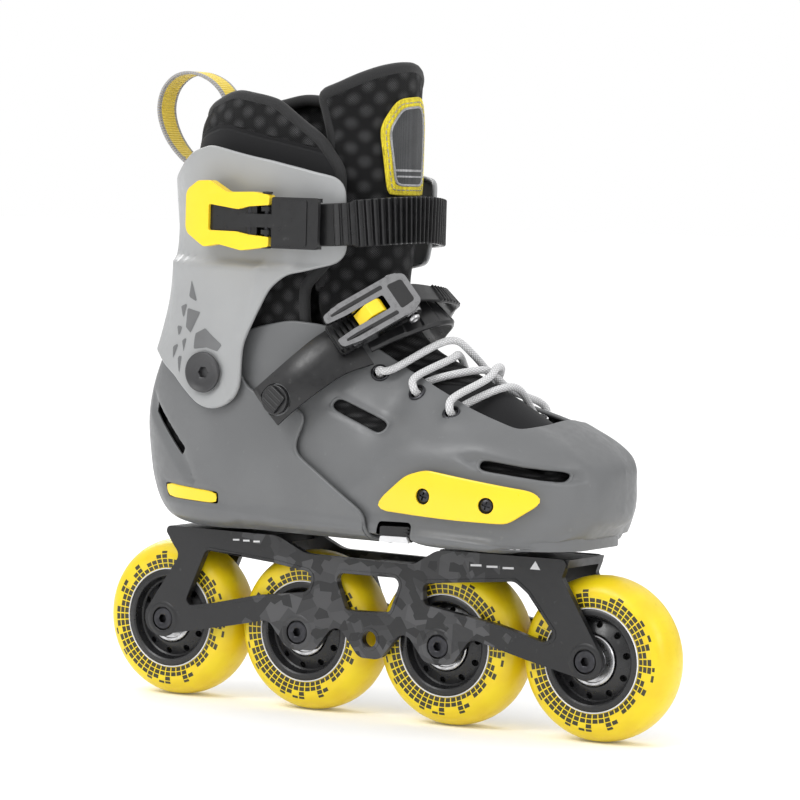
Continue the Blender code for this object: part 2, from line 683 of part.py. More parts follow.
def tongue():
    bm = boot_surface(tongue_offset, 28, 28)
    trim(bm, lambda x, y, z, row, girth: np.minimum((TONGUE_GIRTH - girth) * 100, (row - TONGUE_START) * 200))
    trim(bm, lambda x, y, z, row, girth: 289.5 - z - 0.007 * y**2 - 0.004 * np.clip(-x, 0, 40) ** 2)
    solidify(make("tongue", bm, MESH_BLACK), 5.0)


INSOLE_TOP = 96.4
INSOLE = (
    (-102.5, 0), (-99.5, 9.5), (-91, 15), (-70, 18), (-30, 19), (10, 22), (45, 21.5), (72, 18), (84, 13), (91, 8), (93, 0),
)


def insole():
    outline = spline(INSOLE, 26).tolist()
    outline += [(x, -y) for x, y in outline[-2:0:-1]]
    bm = prism(outline, -INSOLE_TOP, 2.8 - INSOLE_TOP)
    bmesh.ops.transform(bm, verts=bm.verts, matrix=Matrix.Rotation(-math.pi / 2, 4, "X"))
    make("insole", bm, BLACK, smooth=False)


def pivots():
    for side, name in ((-1, "cuff_pivot_outer"), (1, "cuff_pivot_inner")):
        profile = [(0, 41.0), (2.6, 41.0), (2.6, 44.2), (8.6, 43.8), (8.6, 42.9), (4.8, 42.9)]
        profile += [(4.8, 38.9), (4.0, 38.9), (4.0, 35.4), (0, 35.4)]
        profile = [(r, side * y) for r, y in profile]
        body = turned(profile, 16, (PIVOT[0], 0, PIVOT[1]), phase=0.0, socket=2.7)
        make(name, body, BLACK, (PIVOT[0], 0, PIVOT[1]))


LOOP_PATH = (
    (-106, 0, 243.5), (-112, 0, 247), (-119, 0, 254), (-123.5, 0, 262), (-125, 0, 270), (-122.5, 0, 278), (-116, 0, 283.5),
    (-107, 0, 284.5), (-97.5, 0, 281), (-91, 0, 274.5), (-89, 0, 267),
)


def pull_loop():
    make("pull_loop", band(spline(LOOP_PATH, 16), (0, 1, 0), 14.0, 1.4), YELLOW, smooth=False)


BADGE = ((-15, 232.4), (-20, 262, 9), (-11, 274.5, 8), (9, 276.5, 7), (14, 264, 6), (13, 232.4))


def tongue_badge():
    """A patch on the front of the tongue; its outline is in (y, z)."""
    bm = boot_surface(LINER_INSET + 2.2, 60, 56)
    tree = BVHTree.FromBMesh(bm)
    bm.free()
    inside = distance_inside(rounded(BADGE))
    patch = bmesh.new()
    for name in ("row", "girth"):
        patch.verts.layers.float.new(name)
    ys, zs = np.linspace(-22, 16, 9), np.linspace(232, 278, 9)
    verts = []
    for y in ys:
        for z in zs:
            hit, normal, _, _ = tree.ray_cast(Vector((100, y, z)), Vector((-1, 0, 0)))
            verts.append(patch.verts.new(hit + normal * 2.4))
    for i in range(8):
        for j in range(8):
            k = i * 9 + j
            patch.faces.new((verts[k], verts[k + 9], verts[k + 10], verts[k + 1]))
    trim(patch, lambda x, y, z, r, g: inside(y, z))
    solidify(make("tongue_badge", patch, YELLOW), 1.4)


PLATE = (
    (20.5, 99.5, 2), (36, 112.2, 5), (46, 115.2, 5), (93, 108.6, 3), (98.5, 105.5, 2.5), (84, 95.2, 3), (60, 95.6, 30),
    (22.5, 97.2, 1.5),
)
PLATE_SCREWS = ((45.5, 104.4), (74.5, 102.2))
INSERT = ((-101.5, 99.5, 1.5), (-68.5, 97.4, 1.5), (-68.5, 93.2, 1.5), (-99.5, 94.2, 1.5))


def toe_plates(tree):
    for side, name in ((-1, "outer"), (1, "inner")):
        patch = cover(tree, rounded(PLATE), 6.5, GAP + 2.4, side)
        plate = solidify(make(f"toe_plate_{name}", patch, YELLOW), 2.4)
        holes = []
        for i, (x, z) in enumerate(PLATE_SCREWS):
            hit, normal, _, _ = tree.ray_cast(Vector((x, side * 200, z)), Vector((0, -side, 0)))
            axis = normal.normalized()
            hole = make(f"plate_hole_{name}_{i}", rod(hit - axis * 6, hit + axis * 8, 3.5, 12), BLACK)
            holes.append(hole)
            screw = rod(hit + axis * 0.5, hit + axis * 2.5, 3.1, 12)
            make(f"plate_screw_{name}_{i + 1}", screw, BLACK, hit)
        cut(plate, *holes)


def heel_inserts(tree):
    for side, name in ((-1, "outer"), (1, "inner")):
        patch = cover(tree, rounded(INSERT), 6.0, -0.4, side)
        solidify(make(f"heel_insert_{name}", patch, YELLOW), 1.4)


def size_button(tree):
    outline = rounded(((20.5, 88.5, 1), (35, 89, 1), (36, 83.3, 1), (20.5, 83.3, 1)), 60)
    hit, _, _, _ = tree.ray_cast(Vector((28, -200, 86)), Vector((0, 1, 0)))
    face = hit.y + 0.6
    make("size_button", prism(outline, face, face + 4.5), LIGHT_GREY, (28, face, 86), smooth=False)


# ---------------------------------------------------------------- top buckle

BUCKLE_X = 3.0
LADDER_THICK = 1.5
LEVER_PIN = Vector((-40 + BUCKLE_X, -49.0, 220))
CATCH_PIN = Vector((-49 + BUCKLE_X, -49.0, 220))
LADDER_PATH = (
    (-29, -47.4, 218.2), (-18, -46.8, 218.4), (-7, -44.2, 218.8), (2, -38.2, 219.6), (8.6, -29, 220.6), (12.6, -17, 221.4),
    (14, -4, 221.8), (13.4, 8, 221.6), (10.3, 20, 221.0), (5, 31, 220.2), (-3, 39.5, 219.4), (-12, 44.2, 218.8), (-22, 45.9, 218.6),
)


def shifted(outline):
    return [(c[0] + BUCKLE_X, *c[1:]) for c in outline]


def buckle_base():
    plate = make("buckle_base", prism(rounded(shifted(((-76, 228, 3), (-36, 228, 2), (-36, 210.6, 2), (-76, 212, 3)))), -45.4, -43.6), BLACK)
    ears = []
    for i, z in enumerate((214.7, 224.8)):
        ear = prism(rounded(shifted(((-44, -44, 0), (-37, -44, 0), (-37.3, -51.2, 2.6), (-42.7, -51.2, 2.6))), 40), -1.0, 1.0)
        bmesh.ops.transform(ear, verts=ear.verts, matrix=Matrix.Rotation(math.pi / 2, 4, "X"))
        for v in ear.verts:
            v.co = Vector((v.co.x, -abs(v.co.y), v.co.z + z))
        bmesh.ops.recalc_face_normals(ear, faces=ear.faces)
        ears.append(make(f"ear_{i}", ear, BLACK))
    cut(plate, *ears, operation="UNION")
    bore = make("base_bore", rod(LEVER_PIN - Vector((0, 0, 16)), LEVER_PIN + Vector((0, 0, 16)), 1.5, 10), BLACK)
    cut(plate, bore)


LEVER = (
    (-84, 232, 5), (-76, 236.5, 5), (-69, 236.8, 4), (-60, 231.8, 4), (-46, 232.2, 2), (-37.6, 231, 1.5), (-37.6, 226.6, 1), (-48, 225.8, 3),
    (-54, 224.4, 4), (-69.5, 226.4, 1), (-69.5, 214.8, 1), (-55, 214.6, 4), (-48, 213.4, 3), (-37.6, 212.6, 1), (-37.6, 208.4, 1.5),
    (-52, 206.4, 3), (-64, 208.8, 4), (-72, 207.4, 4), (-84, 214, 5),
)


def buckle_lever():
    body = make("buckle_lever", prism(rounded(shifted(LEVER), 40), -51.4, -46.6), YELLOW, LEVER_PIN, smooth=False)
    up = Vector((0, 0, 16))
    bores = [
        make("lever_bore", rod(LEVER_PIN - up, LEVER_PIN + up, 1.5, 10), BLACK),
        make("catch_bore", rod(CATCH_PIN - up, CATCH_PIN + up, 1.5, 10), BLACK),
    ]
    cut(body, *bores)
    make("lever_pin", rod(LEVER_PIN - Vector((0, 0, 12.5)), LEVER_PIN + Vector((0, 0, 12.5)), 1.2, 10), STEEL, LEVER_PIN)
    make("catch_pin", rod(CATCH_PIN - Vector((0, 0, 11)), CATCH_PIN + Vector((0, 0, 11)), 1.2, 10), STEEL, CATCH_PIN)


def buckle_catch():
    top, bottom = 230.2, 207.8
    outline = rounded(
        shifted(((-52.6, 222.6, 2), (-35.4, 222.6), (-35.4, top, 1), (-11.5, top, 2), (-11.5, bottom, 2), (-35.4, bottom, 1),
         (-35.4, 216.8), (-52.6, 216.8, 2))), 45)
    body = make("buckle_catch", prism(outline, -52.6, -50.6), BLACK, CATCH_PIN, smooth=False)
    parts = [
        make("catch_lug", prism(rounded(shifted(((-51.4, 222.6, 1), (-46.6, 222.6, 1), (-46.6, 216.8, 1), (-51.4, 216.8, 1)))), -51, -46.8), BLACK),
        make("catch_top", prism(shifted([(-35.2, top - 0.2), (-12, top - 0.2), (-12, top - 1.9), (-35.2, top - 1.9)]), -51.5, -48.3), BLACK),
        make("catch_foot", prism(shifted([(-35.2, bottom + 1.7), (-12, bottom + 1.7), (-12, bottom + 0.2), (-35.2, bottom + 0.2)]), -51.5, -48.3), BLACK),
        make("catch_tooth", prism(shifted([(-22, 224), (-20, 224), (-20, 213), (-22, 213)]), -51.5, -50.1), BLACK),
    ]
    cut(body, *parts, operation="UNION")
    bore = make("hook_bore", rod(CATCH_PIN - Vector((0, 0, 16)), CATCH_PIN + Vector((0, 0, 16)), 1.5, 10), BLACK)
    cut(body, bore)


def cuff_ladder():
    path = [Vector(p) for p in spline(LADDER_PATH, 46)]
    up = Vector((0, 0, 1))
    path = [p + up.cross(tangent) * LADDER_THICK for p, tangent in zip(path, frame_axes(path))]

    def rib(i):
        return 1.0 if 9 < i < 42 and i % 2 else 0.0

    body = band(path, up, lambda t: 18.6 if t < 0.16 else 20.6, LADDER_THICK, rib)
    strap = make("cuff_ladder", body, BLACK, smooth=False)
    hole = make("ladder_hole", rod((-14, 30, 218.7), (-14, 60, 218.7), 2.3, 10), BLACK)
    cut(strap, hole)
    profile = [(0, 42.4), (1.9, 42.4), (1.9, 48.0), (4.2, 48.0), (3.4, 49.6), (0, 49.6)]
    make("ladder_screw", turned(profile, 12, (-14, 0, 218.7)), STEEL, (-14, 45, 218.7))


# ---------------------------------------------------------------- instep strap

E1 = Vector((0.60, 0.62, 0.50)).normalized()
E2 = Vector((0.68, -0.03, -0.73))
E2 = (E2 - E1 * E1.dot(E2)).normalized()
OUT = -E1.cross(E2).normalized()
RATCHET = Vector((3.8, -24.0, 178.0))
STRAP_HALF = (
    (-37, -45.6, 137.5), (-28, -45.2, 146), (-19, -43.4, 155), (-10.5, -38, 164.5), (-3, -30.5, 171.6), (4, -23.8, 176.2),
    (12, -15.5, 180.8), (18.5, -7.5, 184),
)
STRAP_PATH = (*STRAP_HALF, (21, 0, 185.4), *[(x, -y, z) for x, y, z in reversed(STRAP_HALF)])


def local(a, b, c):
    """A point of the ratchet: a along the strap, b across it towards the toe, c outward."""
    return RATCHET + E1 * a + E2 * b + OUT * c


def strap_plate(outline, c0, c1):
    """A plate of the ratchet: its outline is in (a, b), between the heights c0 and c1."""
    return place(prism(outline, -c1, -c0), RATCHET, E1, E2, OUT)


def ratchet():
    base = make("ratchet_base", strap_plate(rounded(((-21, 8, 2), (20, 8, 2), (20, -8, 2), (-21, -8, 2)), 45), 0, 1.4), BLACK)
    cheeks = []
    for i, b in enumerate((-6.9, 6.9)):
        cheek = prism(rounded(((-8, 0.5), (-4, 6.6, 2), (10, 7.0, 2), (17.5, 8.4, 3), (19, 0.5)), 45), -0.8, 0.8)
        cheeks.append(make(f"cheek_{i}", place(cheek, local(0, b, 0), E1, OUT, -E2), BLACK))
    cut(base, *cheeks, operation="UNION")
    lever = make("ratchet_lever", strap_plate(rounded(LEVER_FRAME, 40), 8.9, 11.2), DARK_CHROME, local(*LEVER_AXIS))
    rails = []
    for i, b in enumerate((-9.4, 9.4)):
        side = prism(rounded(((-16, 9.8), (-15, 5.6, 2), (8, 4.2, 3), (17.8, 1.8, 3.4), (18.6, 10, 3)), 45), -0.9, 0.9)
        rails.append(make(f"lever_rail_{i}", place(side, local(0, b, 0), E1, OUT, -E2), BLACK))
    cut(lever, *rails, operation="UNION")
    for node, axis, name, holder in ((lever, LEVER_AXIS, "ratchet_pin", base), (None, TRIGGER_AXIS, "trigger_pin", base)):
        a, _, c = axis
        bore = make(name + "_bore", rod(local(a, -14, c), local(a, 14, c), 1.5, 10), BLACK)
        half = 11.4 if node else 8.2
        make(name, rod(local(a, -half, c), local(a, half, c), 1.2, 10), STEEL, local(a, 0, c))
        for part in (node, holder):
            if part:
                cut(part, bore)


LEVER_AXIS = (14.0, 0.0, 5.2)
TRIGGER_AXIS = (-1.0, 0.0, 4.4)
LEVER_FRAME = (
    (-21, -8.5, 3), (-21, -4.4, 1), (-12, -3.6, 2), (6.8, -3.6, 1), (6.8, 3.6, 1), (-12, 3.6, 2), (-21, 4.4, 1), (-21, 8.5, 3),
    (-12, 10.2, 4), (15, 10.2, 4), (20, 7.5, 3), (20, -7.5, 3), (15, -10.2, 4), (-12, -10.2, 4),
)


def trigger():
    blade = ((-9.0, 6.9, 1), (-2.5, 12.4, 1.5), (3.5, 12.2, 2), (5.5, 8.6, 1.5), (2.0, 2.9, 2), (-3.2, 2.9, 1.5))
    body = prism(rounded(blade, 45), -3.1, 3.1)
    pivot = local(*TRIGGER_AXIS)
    key = make("ratchet_trigger", place(body, local(0, 0, 0), E1, OUT, -E2), YELLOW, pivot)
    a, _, c = TRIGGER_AXIS
    cut(key, make("trigger_bore", rod(local(a, -14, c), local(a, 14, c), 1.5, 10), BLACK))


def strap_out(point):
    """The way out of the strap at a point of its path."""
    return Vector((0.44, point[1] / 32, 0.5)).normalized()


def strap_across(path):
    """The direction across the strap at each point of its path: along the boot, square to the way out."""
    return [tuple(strap_out(point).cross(tangent)) for point, tangent in zip(path, frame_axes(path))]


def strap_arm():
    path = [Vector(p) for p in spline(STRAP_PATH[:5], 14)]
    path = [p + strap_out(p) * (0.6 - 5.0 * i / 13) for i, p in enumerate(path)]
    body = band(path, strap_across(path), lambda t: 20 - 2.5 * t, 3.0)
    arm = make("strap_arm", body, BLACK, smooth=False)
    seat = path[0] + Vector((6.0, 0, 4.0))
    well = make("adjuster_well", rod(seat + Vector((0, 20, 0)), seat - Vector((0, 20, 0)), 7.2, 16), BLACK)
    cut(arm, well)
    make("strap_adjuster", rod(seat + Vector((0, -0.6, 0)), seat - Vector((0, 5.6, 0)), 6.8, 16), BLACK, seat)


def instep_ladder():
    """Starts inside the ratchet, passes under its pin and runs over the tongue to the rivet."""
    path = [Vector(p) for p in STRAP_PATH[9:]]

    path = [local(9, 0, 2.0), local(15, 0, 2.0), local(21, 0, 2.4), *[p + strap_out(p) * 5.0 for p in path]]
    path = [Vector(p) for p in spline([tuple(p) for p in path], 28)]
    body = band(path, strap_across(path), 9.6, 1.4, lambda i: 0.7 if i % 2 and 9 < i < 19 else 0.0)
    make("instep_ladder", body, BLACK, smooth=False)
    end = path[-1]
    make("instep_rivet", rod(end + Vector((0, 2.2, 0)), end + Vector((0, 4.2, 0)), 5.0, 12), STEEL, end)


def instep_pad():
    """The plate under the ratchet and ladder, which spreads their pull over the tongue."""
    path = [Vector(p) for p in spline(STRAP_PATH[4:12], 20)][1:]
    path = [p - strap_out(p) * 2.9 for p in path]
    make("instep_pad", band(path, strap_across(path), 22.0, 2.0), BLACK, smooth=False)


# ---------------------------------------------------------------- lace

LACE_RADIUS = 1.7
LACE_POINTS = 78
LACE_SLIDE = 6.5


def lace_route(tree):
    """The lace's points: crossed over the tongue, with a bar under the front pair and both ends inside.

    Each strand leaves an eyelet outward, crosses, and dives under the edge of the shell on the other side.
    """
    outer, inner = eyelet_points(tree, -1), eyelet_points(tree, 1)
    tongue = surface_tree(LINER_INSET + LACE_RADIUS + 0.9)

    def above(a, b, share, lift):
        x, y, _ = a[0].lerp(b[0], share)
        x += LACE_SLIDE * 4 * share * (1 - share)
        hit, _, _, _ = tongue.ray_cast(Vector((x, y, 300)), Vector((0, 0, -1)))
        return hit + Vector((lift * 0.4, 0, lift))

    def through(a):
        """Up through an eyelet, square to the shell."""
        return [a[0] - a[1] * 4.3, a[0] - a[1] * 1.0, a[0] + a[1] * 3.2]

    def under_edge(a):
        """A point below the shell, from an eyelet towards the middle."""
        way = Vector((0, -a[0].y, 0))
        way -= a[1] * a[1].dot(way)
        return a[0] - a[1] * 4.8 + way.normalized() * 9.5

    def over_edge(a, b):
        """A point above the shell, from eyelet a towards eyelet b."""
        way = b[0] - a[0]
        way -= a[1] * a[1].dot(way)
        return a[0] + a[1] * 3.6 + way.normalized() * 6.0

    def tucked(a, b, start, lift):
        """From the side of a, over the tongue, to a point under the shell just short of eyelet b."""
        return [above(a, b, share, lift) for share in (start, 0.5)] + [above(a, b, 0.62, 0.9 + 0.8 * lift), under_edge(b)]

    (l1, l2, l3), (m1, m2, m3) = outer, inner
    first = [under_edge(l1), *through(l1), over_edge(l1, m2)]
    first += [above(l1, m2, share, lift) for share, lift in ((0.4, 5.4), (0.6, 5.0))]
    down = [over_edge(m2, l1), *through(m2)[::-1], *tucked(l3, m2, 0.36, 4.6)[::-1], over_edge(l3, m2), *through(l3)[::-1]]
    bar = [under_edge(l3), above(l3, m3, 0.5, 1.2), under_edge(m3)]
    up = [*through(m3), over_edge(m3, l2), *tucked(m3, l2, 0.36, 0.4), *through(l2), over_edge(l2, m1)]
    last = [above(l2, m1, share, lift) for share, lift in ((0.42, 0.6), (0.6, 0.6))]
    last += [over_edge(m1, l2), *through(m1)[::-1], under_edge(m1)]
    return first + down + bar + up + last


def lace(tree):
    curve = bpy.data.curves.new("lace", "CURVE")
    curve.dimensions = "3D"
    curve.bevel_depth = LACE_RADIUS * MM
    curve.bevel_resolution = 2
    curve.use_fill_caps = True
    line = curve.splines.new("POLY")
    points = spline(lace_route(tree), LACE_POINTS) * MM
    line.points.add(len(points) - 1)
    for target, point in zip(line.points, points):
        target.co = (*point, 1.0)
    curve.materials.append(material("lace_finish", WHITE))
    obj = bpy.data.objects.new("lace", curve)
    bpy.context.scene.collection.objects.link(obj)


def main():
    clear_scene()
    for number, x in enumerate(AXLE_X, 1):
        tyre(number, x)
        hub(number, x)
        bearings(number, x)
        axle(number, x)
    frame()
    frame_bolts()
    tree = surface_tree(toe_offset)
    heel_shell()
    toe_shell(tree)
    cuff()
    liner()
    tongue()
    insole()
    pivots()
    pull_loop()
    tongue_badge()
    toe_plates(tree)
    size_button(tree)
    heel_inserts(surface_tree(heel_offset))
    buckle_base()
    buckle_lever()
    buckle_catch()
    cuff_ladder()
    ratchet()
    trigger()
    strap_arm()
    instep_ladder()
    instep_pad()
    lace(tree)


main()
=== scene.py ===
import math

import bmesh
import bpy
import numpy as np
from mathutils import Matrix, Vector, geometry
from mathutils.bvhtree import BVHTree


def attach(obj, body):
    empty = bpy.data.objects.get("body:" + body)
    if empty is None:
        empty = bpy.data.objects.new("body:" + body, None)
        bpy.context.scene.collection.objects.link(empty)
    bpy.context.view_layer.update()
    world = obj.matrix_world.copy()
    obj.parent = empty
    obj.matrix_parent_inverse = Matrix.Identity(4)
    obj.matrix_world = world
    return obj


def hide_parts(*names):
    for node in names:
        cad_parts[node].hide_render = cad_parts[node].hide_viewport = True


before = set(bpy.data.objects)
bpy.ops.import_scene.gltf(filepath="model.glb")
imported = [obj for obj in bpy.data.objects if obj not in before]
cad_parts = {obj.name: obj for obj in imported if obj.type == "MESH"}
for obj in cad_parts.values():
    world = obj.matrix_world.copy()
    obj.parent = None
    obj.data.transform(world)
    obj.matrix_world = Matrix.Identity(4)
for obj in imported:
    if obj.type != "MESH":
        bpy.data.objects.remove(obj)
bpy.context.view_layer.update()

MM = 0.001
ROWS = 199
COLUMNS = 168

GAP = 0.3

WHEEL_RADIUS = 36.0

WHEEL_WIDTH = 24.0

WHEEL_PITCH = 73.0

AXLE_X = [WHEEL_PITCH * (i - 1.5) for i in range(4)]

CORE_RADIUS = 22.0

BEARING_OUTER = 11.0

BEARING_BORE = 4.0


RAIL_OUTER = 17.0

RAIL_THICK = 3.2

BOSS_INNER = 12.1

DECK_TOP = 78.7

DECK_THICK = 3.6

SHELL_THICK = 2.0

TOE_INSET = -3.2

LINER_INSET = -6.4

LINER_THICK = 4.0

CUFF_OUT = 3.6

CUFF_THICK = 2.2

PIVOT = (-73.0, 151.5)

GIRTH = (0.0, 0.12, 0.3, 0.5, 0.7, 0.86, 0.96, 1.0)

SECTIONS = (
    ((115, 116), (115, 99), (0, 0, 0, 0, 0, 0)),
    ((113.5, 120), (113.5, 94.5), (9, 12.5, 14, 13.5, 12, 8)),
    ((109, 124.5), (109, 90.5), (17, 22.5, 24.5, 24.5, 22, 16)),
    ((100, 131), (100, 81), (25, 33, 35.5, 35.5, 32.5, 28.5)),
    ((85, 139), (85, 79.5), (26, 39, 42.5, 43, 41.5, 39.5)),
    ((60, 153.5), (60, 79.5), (19, 37, 45, 46.5, 44.6, 42.5)),
    ((40, 163.5), (35, 79.5), (16.5, 32, 43.5, 46, 44.3, 42)),
    ((26, 170), (0, 79.5), (17, 30.5, 40.5, 43.5, 41.8, 39)),
    ((18, 177), (-30, 79.5), (18, 33, 39.5, 41, 39.2, 36.5)),
    ((13.5, 184), (-65, 79.5), (22, 35, 39, 39.5, 37.5, 33)),
    ((11, 191), (-97, 79.5), (26, 37, 38.5, 38, 35.5, 28)),
    ((10, 198), (-116, 88), (28.5, 37.8, 38.5, 36.5, 31, 19.5)),
    ((9.5, 205), (-123, 108), (30, 38, 38.5, 36.5, 29.5, 17.5)),
    ((9, 211), (-124.5, 130), (31, 38, 38.5, 36.5, 29, 17)),
    ((9, 217), (-119.5, 150), (32, 38, 38.5, 36, 28, 16)),
    ((9, 223), (-113.5, 170), (33, 38, 38.5, 35.5, 27, 15.5)),
    ((9, 230), (-109.5, 190), (33, 38, 38.5, 35.5, 27, 15.5)),
    ((9, 238), (-107, 210), (33.5, 38, 38.5, 35.5, 27, 15.5)),
    ((9, 248), (-108, 230), (34, 38.5, 39, 36, 27.5, 16)),
    ((9, 260), (-108.5, 247), (34, 39, 39.5, 36.5, 28, 16)),
    ((9, 274), (-105, 262), (33, 39, 39.5, 36.5, 28, 16)),
    ((9, 292), (-97, 278), (31, 38, 39.5, 36.5, 28, 16)),
)

CENTRE_LINE_SHIFT = ((-130, 0.0), (30, 0.0), (80, 2.0), (116, 5.0))

RAIL = (
    (-110.5, 79, 4), (-48, 78.6, 14), (-33, 71.6, 14), (23, 71, 8), (35, 78.4, 12), (100, 79, 2.5),
    (97, 71, 2), (126.3, 24.5, 7.8), (81, 34.2, 30), (53, 41, 5), (43.5, 28.3, 6), (30, 28.3, 6),
    (19, 42.5, 5), (7, 27.6, 6), (-4, 27.6, 6), (-16, 42.5, 5), (-27.5, 28.4, 6), (-42, 28.4, 6),
    (-52, 40.3, 5), (-70, 36.4, 40), (-128.5, 25.0, 7.8), (-101, 66, 4), (-105, 71, 3),
)

WINDOWS = (
    ((-86.5, 69.2, 3), (-50, 66.2, 6), (-28.5, 63.2, 4), (-31.5, 54.6, 4), (-58, 51, 12), (-84, 45, 20),
        (-98, 43, 2.5)),
    ((-17.5, 64.4, 3), (17, 64.4, 3), (11.4, 48.8, 3), (-11, 48.2, 3)),
    ((28.2, 63.2, 3), (74, 67.6, 5), (80.5, 63, 4), (95, 45.5, 2.5), (89, 42.6, 3), (68, 48, 20),
        (29, 54, 3)),
)

HEEL_OUTLINE = (
    (15.5, 60), (15.5, 82, 3), (12, 94.5, 5), (-27, 119.5, 6), (-20.5, 136, 4), (-52, 145, 10),
    (-58, 154, 4),
    (-60, 170, 6), (-92, 177, 6), (-140, 177), (-140, 60),
)

TOE_OUTLINE = (
    (140, 60), (140, 150), (91, 142), (86, 136.5, 3), (80, 134.5, 8), (55, 142.3, 30), (17, 157.5, 30),
    (-3, 170, 12),
    (-18, 175, 12), (-33, 176.3, 20), (-56, 171.5, 20), (-66, 160, 8), (-50, 118, 10), (-22, 95, 8),
    (-22, 60),
)

CUFF_OUTLINE = (
    (-140, 236), (-106, 237.5, 20), (-87, 249.5, 12), (-74, 252.6, 12), (-50, 247.8, 40), (2, 239, 7),
    (2, 202, 9), (-29, 196.5, 8), (-40, 190, 10), (-53.5, 164, 10), (-54, 140, 13), (-73, 133, 17),
    (-92, 149, 12), (-108, 158, 15), (-140, 163),
)

EYELETS = {
    -1: ((7.5, 154.6), (27, 147), (47.5, 139.4)),
    1: ((23.5, 150.3), (41.5, 143.2), (58.5, 136.4)),
}

TONGUE_GIRTH = 0.235

WRAP_GIRTH = 0.15

TONGUE_START = 0.175

LINER_TOP = (
    (-140, 100), (-140, 262), (-104, 263, 15), (-88, 271, 15), (-68, 277, 20), (-44, 273, 20),
    (-20, 256, 20),
    (-5, 236, 20), (6, 200, 20), (60, 180), (160, 160), (160, 60), (-140, 60),
)

LOOP_PATH = (
    (-106, 0, 243.5), (-112, 0, 247), (-119, 0, 254), (-123.5, 0, 262), (-125, 0, 270), (-122.5, 0, 278),
    (-116, 0, 283.5),
    (-107, 0, 284.5), (-97.5, 0, 281), (-91, 0, 274.5), (-89, 0, 267),
)

BADGE = ((-15, 232.4), (-20, 262, 9), (-11, 274.5, 8), (9, 276.5, 7), (14, 264, 6), (13, 232.4))

PLATE = (
    (20.5, 99.5, 2), (36, 112.2, 5), (46, 115.2, 5), (93, 108.6, 3), (98.5, 105.5, 2.5), (84, 95.2, 3),
    (60, 95.6, 30),
    (22.5, 97.2, 1.5),
)

PLATE_SCREWS = ((45.5, 104.4), (74.5, 102.2))

INSERT = ((-101.5, 99.5, 1.5), (-68.5, 97.4, 1.5), (-68.5, 93.2, 1.5), (-99.5, 94.2, 1.5))

BUCKLE_X = 3.0

LADDER_THICK = 1.5

LEVER_PIN = Vector((-40 + BUCKLE_X, -49.0, 220))

CATCH_PIN = Vector((-49 + BUCKLE_X, -49.0, 220))

LADDER_PATH = (
    (-29, -47.4, 218.2), (-18, -46.8, 218.4), (-7, -44.2, 218.8), (2, -38.2, 219.6), (8.6, -29, 220.6),
    (12.6, -17, 221.4),
    (14, -4, 221.8), (13.4, 8, 221.6), (10.3, 20, 221.0), (5, 31, 220.2), (-3, 39.5, 219.4),
    (-12, 44.2, 218.8), (-22, 45.9, 218.6),
)

LEVER = (
    (-84, 232, 5), (-76, 236.5, 5), (-69, 236.8, 4), (-60, 231.8, 4), (-46, 232.2, 2), (-37.6, 231, 1.5),
    (-37.6, 226.6, 1), (-48, 225.8, 3),
    (-54, 224.4, 4), (-69.5, 226.4, 1), (-69.5, 214.8, 1), (-55, 214.6, 4), (-48, 213.4, 3),
    (-37.6, 212.6, 1), (-37.6, 208.4, 1.5),
    (-52, 206.4, 3), (-64, 208.8, 4), (-72, 207.4, 4), (-84, 214, 5),
)

E1 = Vector((0.60, 0.62, 0.50)).normalized()

E2 = Vector((0.68, -0.03, -0.73))
E2 = (E2 - E1 * E1.dot(E2)).normalized()
OUT = -E1.cross(E2).normalized()

RATCHET = Vector((3.8, -24.0, 178.0))

STRAP_HALF = (
    (-37, -45.6, 137.5), (-28, -45.2, 146), (-19, -43.4, 155), (-10.5, -38, 164.5), (-3, -30.5, 171.6),
    (4, -23.8, 176.2),
    (12, -15.5, 180.8), (18.5, -7.5, 184),
)

STRAP_PATH = (*STRAP_HALF, (21, 0, 185.4), *[(x, -y, z) for x, y, z in reversed(STRAP_HALF)])

LEVER_AXIS = (14.0, 0.0, 5.2)

TRIGGER_AXIS = (-1.0, 0.0, 4.4)

LEVER_FRAME = (
    (-21, -8.5, 3), (-21, -4.4, 1), (-12, -3.6, 2), (6.8, -3.6, 1), (6.8, 3.6, 1), (-12, 3.6, 2),
    (-21, 4.4, 1), (-21, 8.5, 3),
    (-12, 10.2, 4), (15, 10.2, 4), (20, 7.5, 3), (20, -7.5, 3), (15, -10.2, 4), (-12, -10.2, 4),
)

LACE_RADIUS = 1.7


LACE_SLIDE = 6.5


# ---------------------------------------------------------------- materials


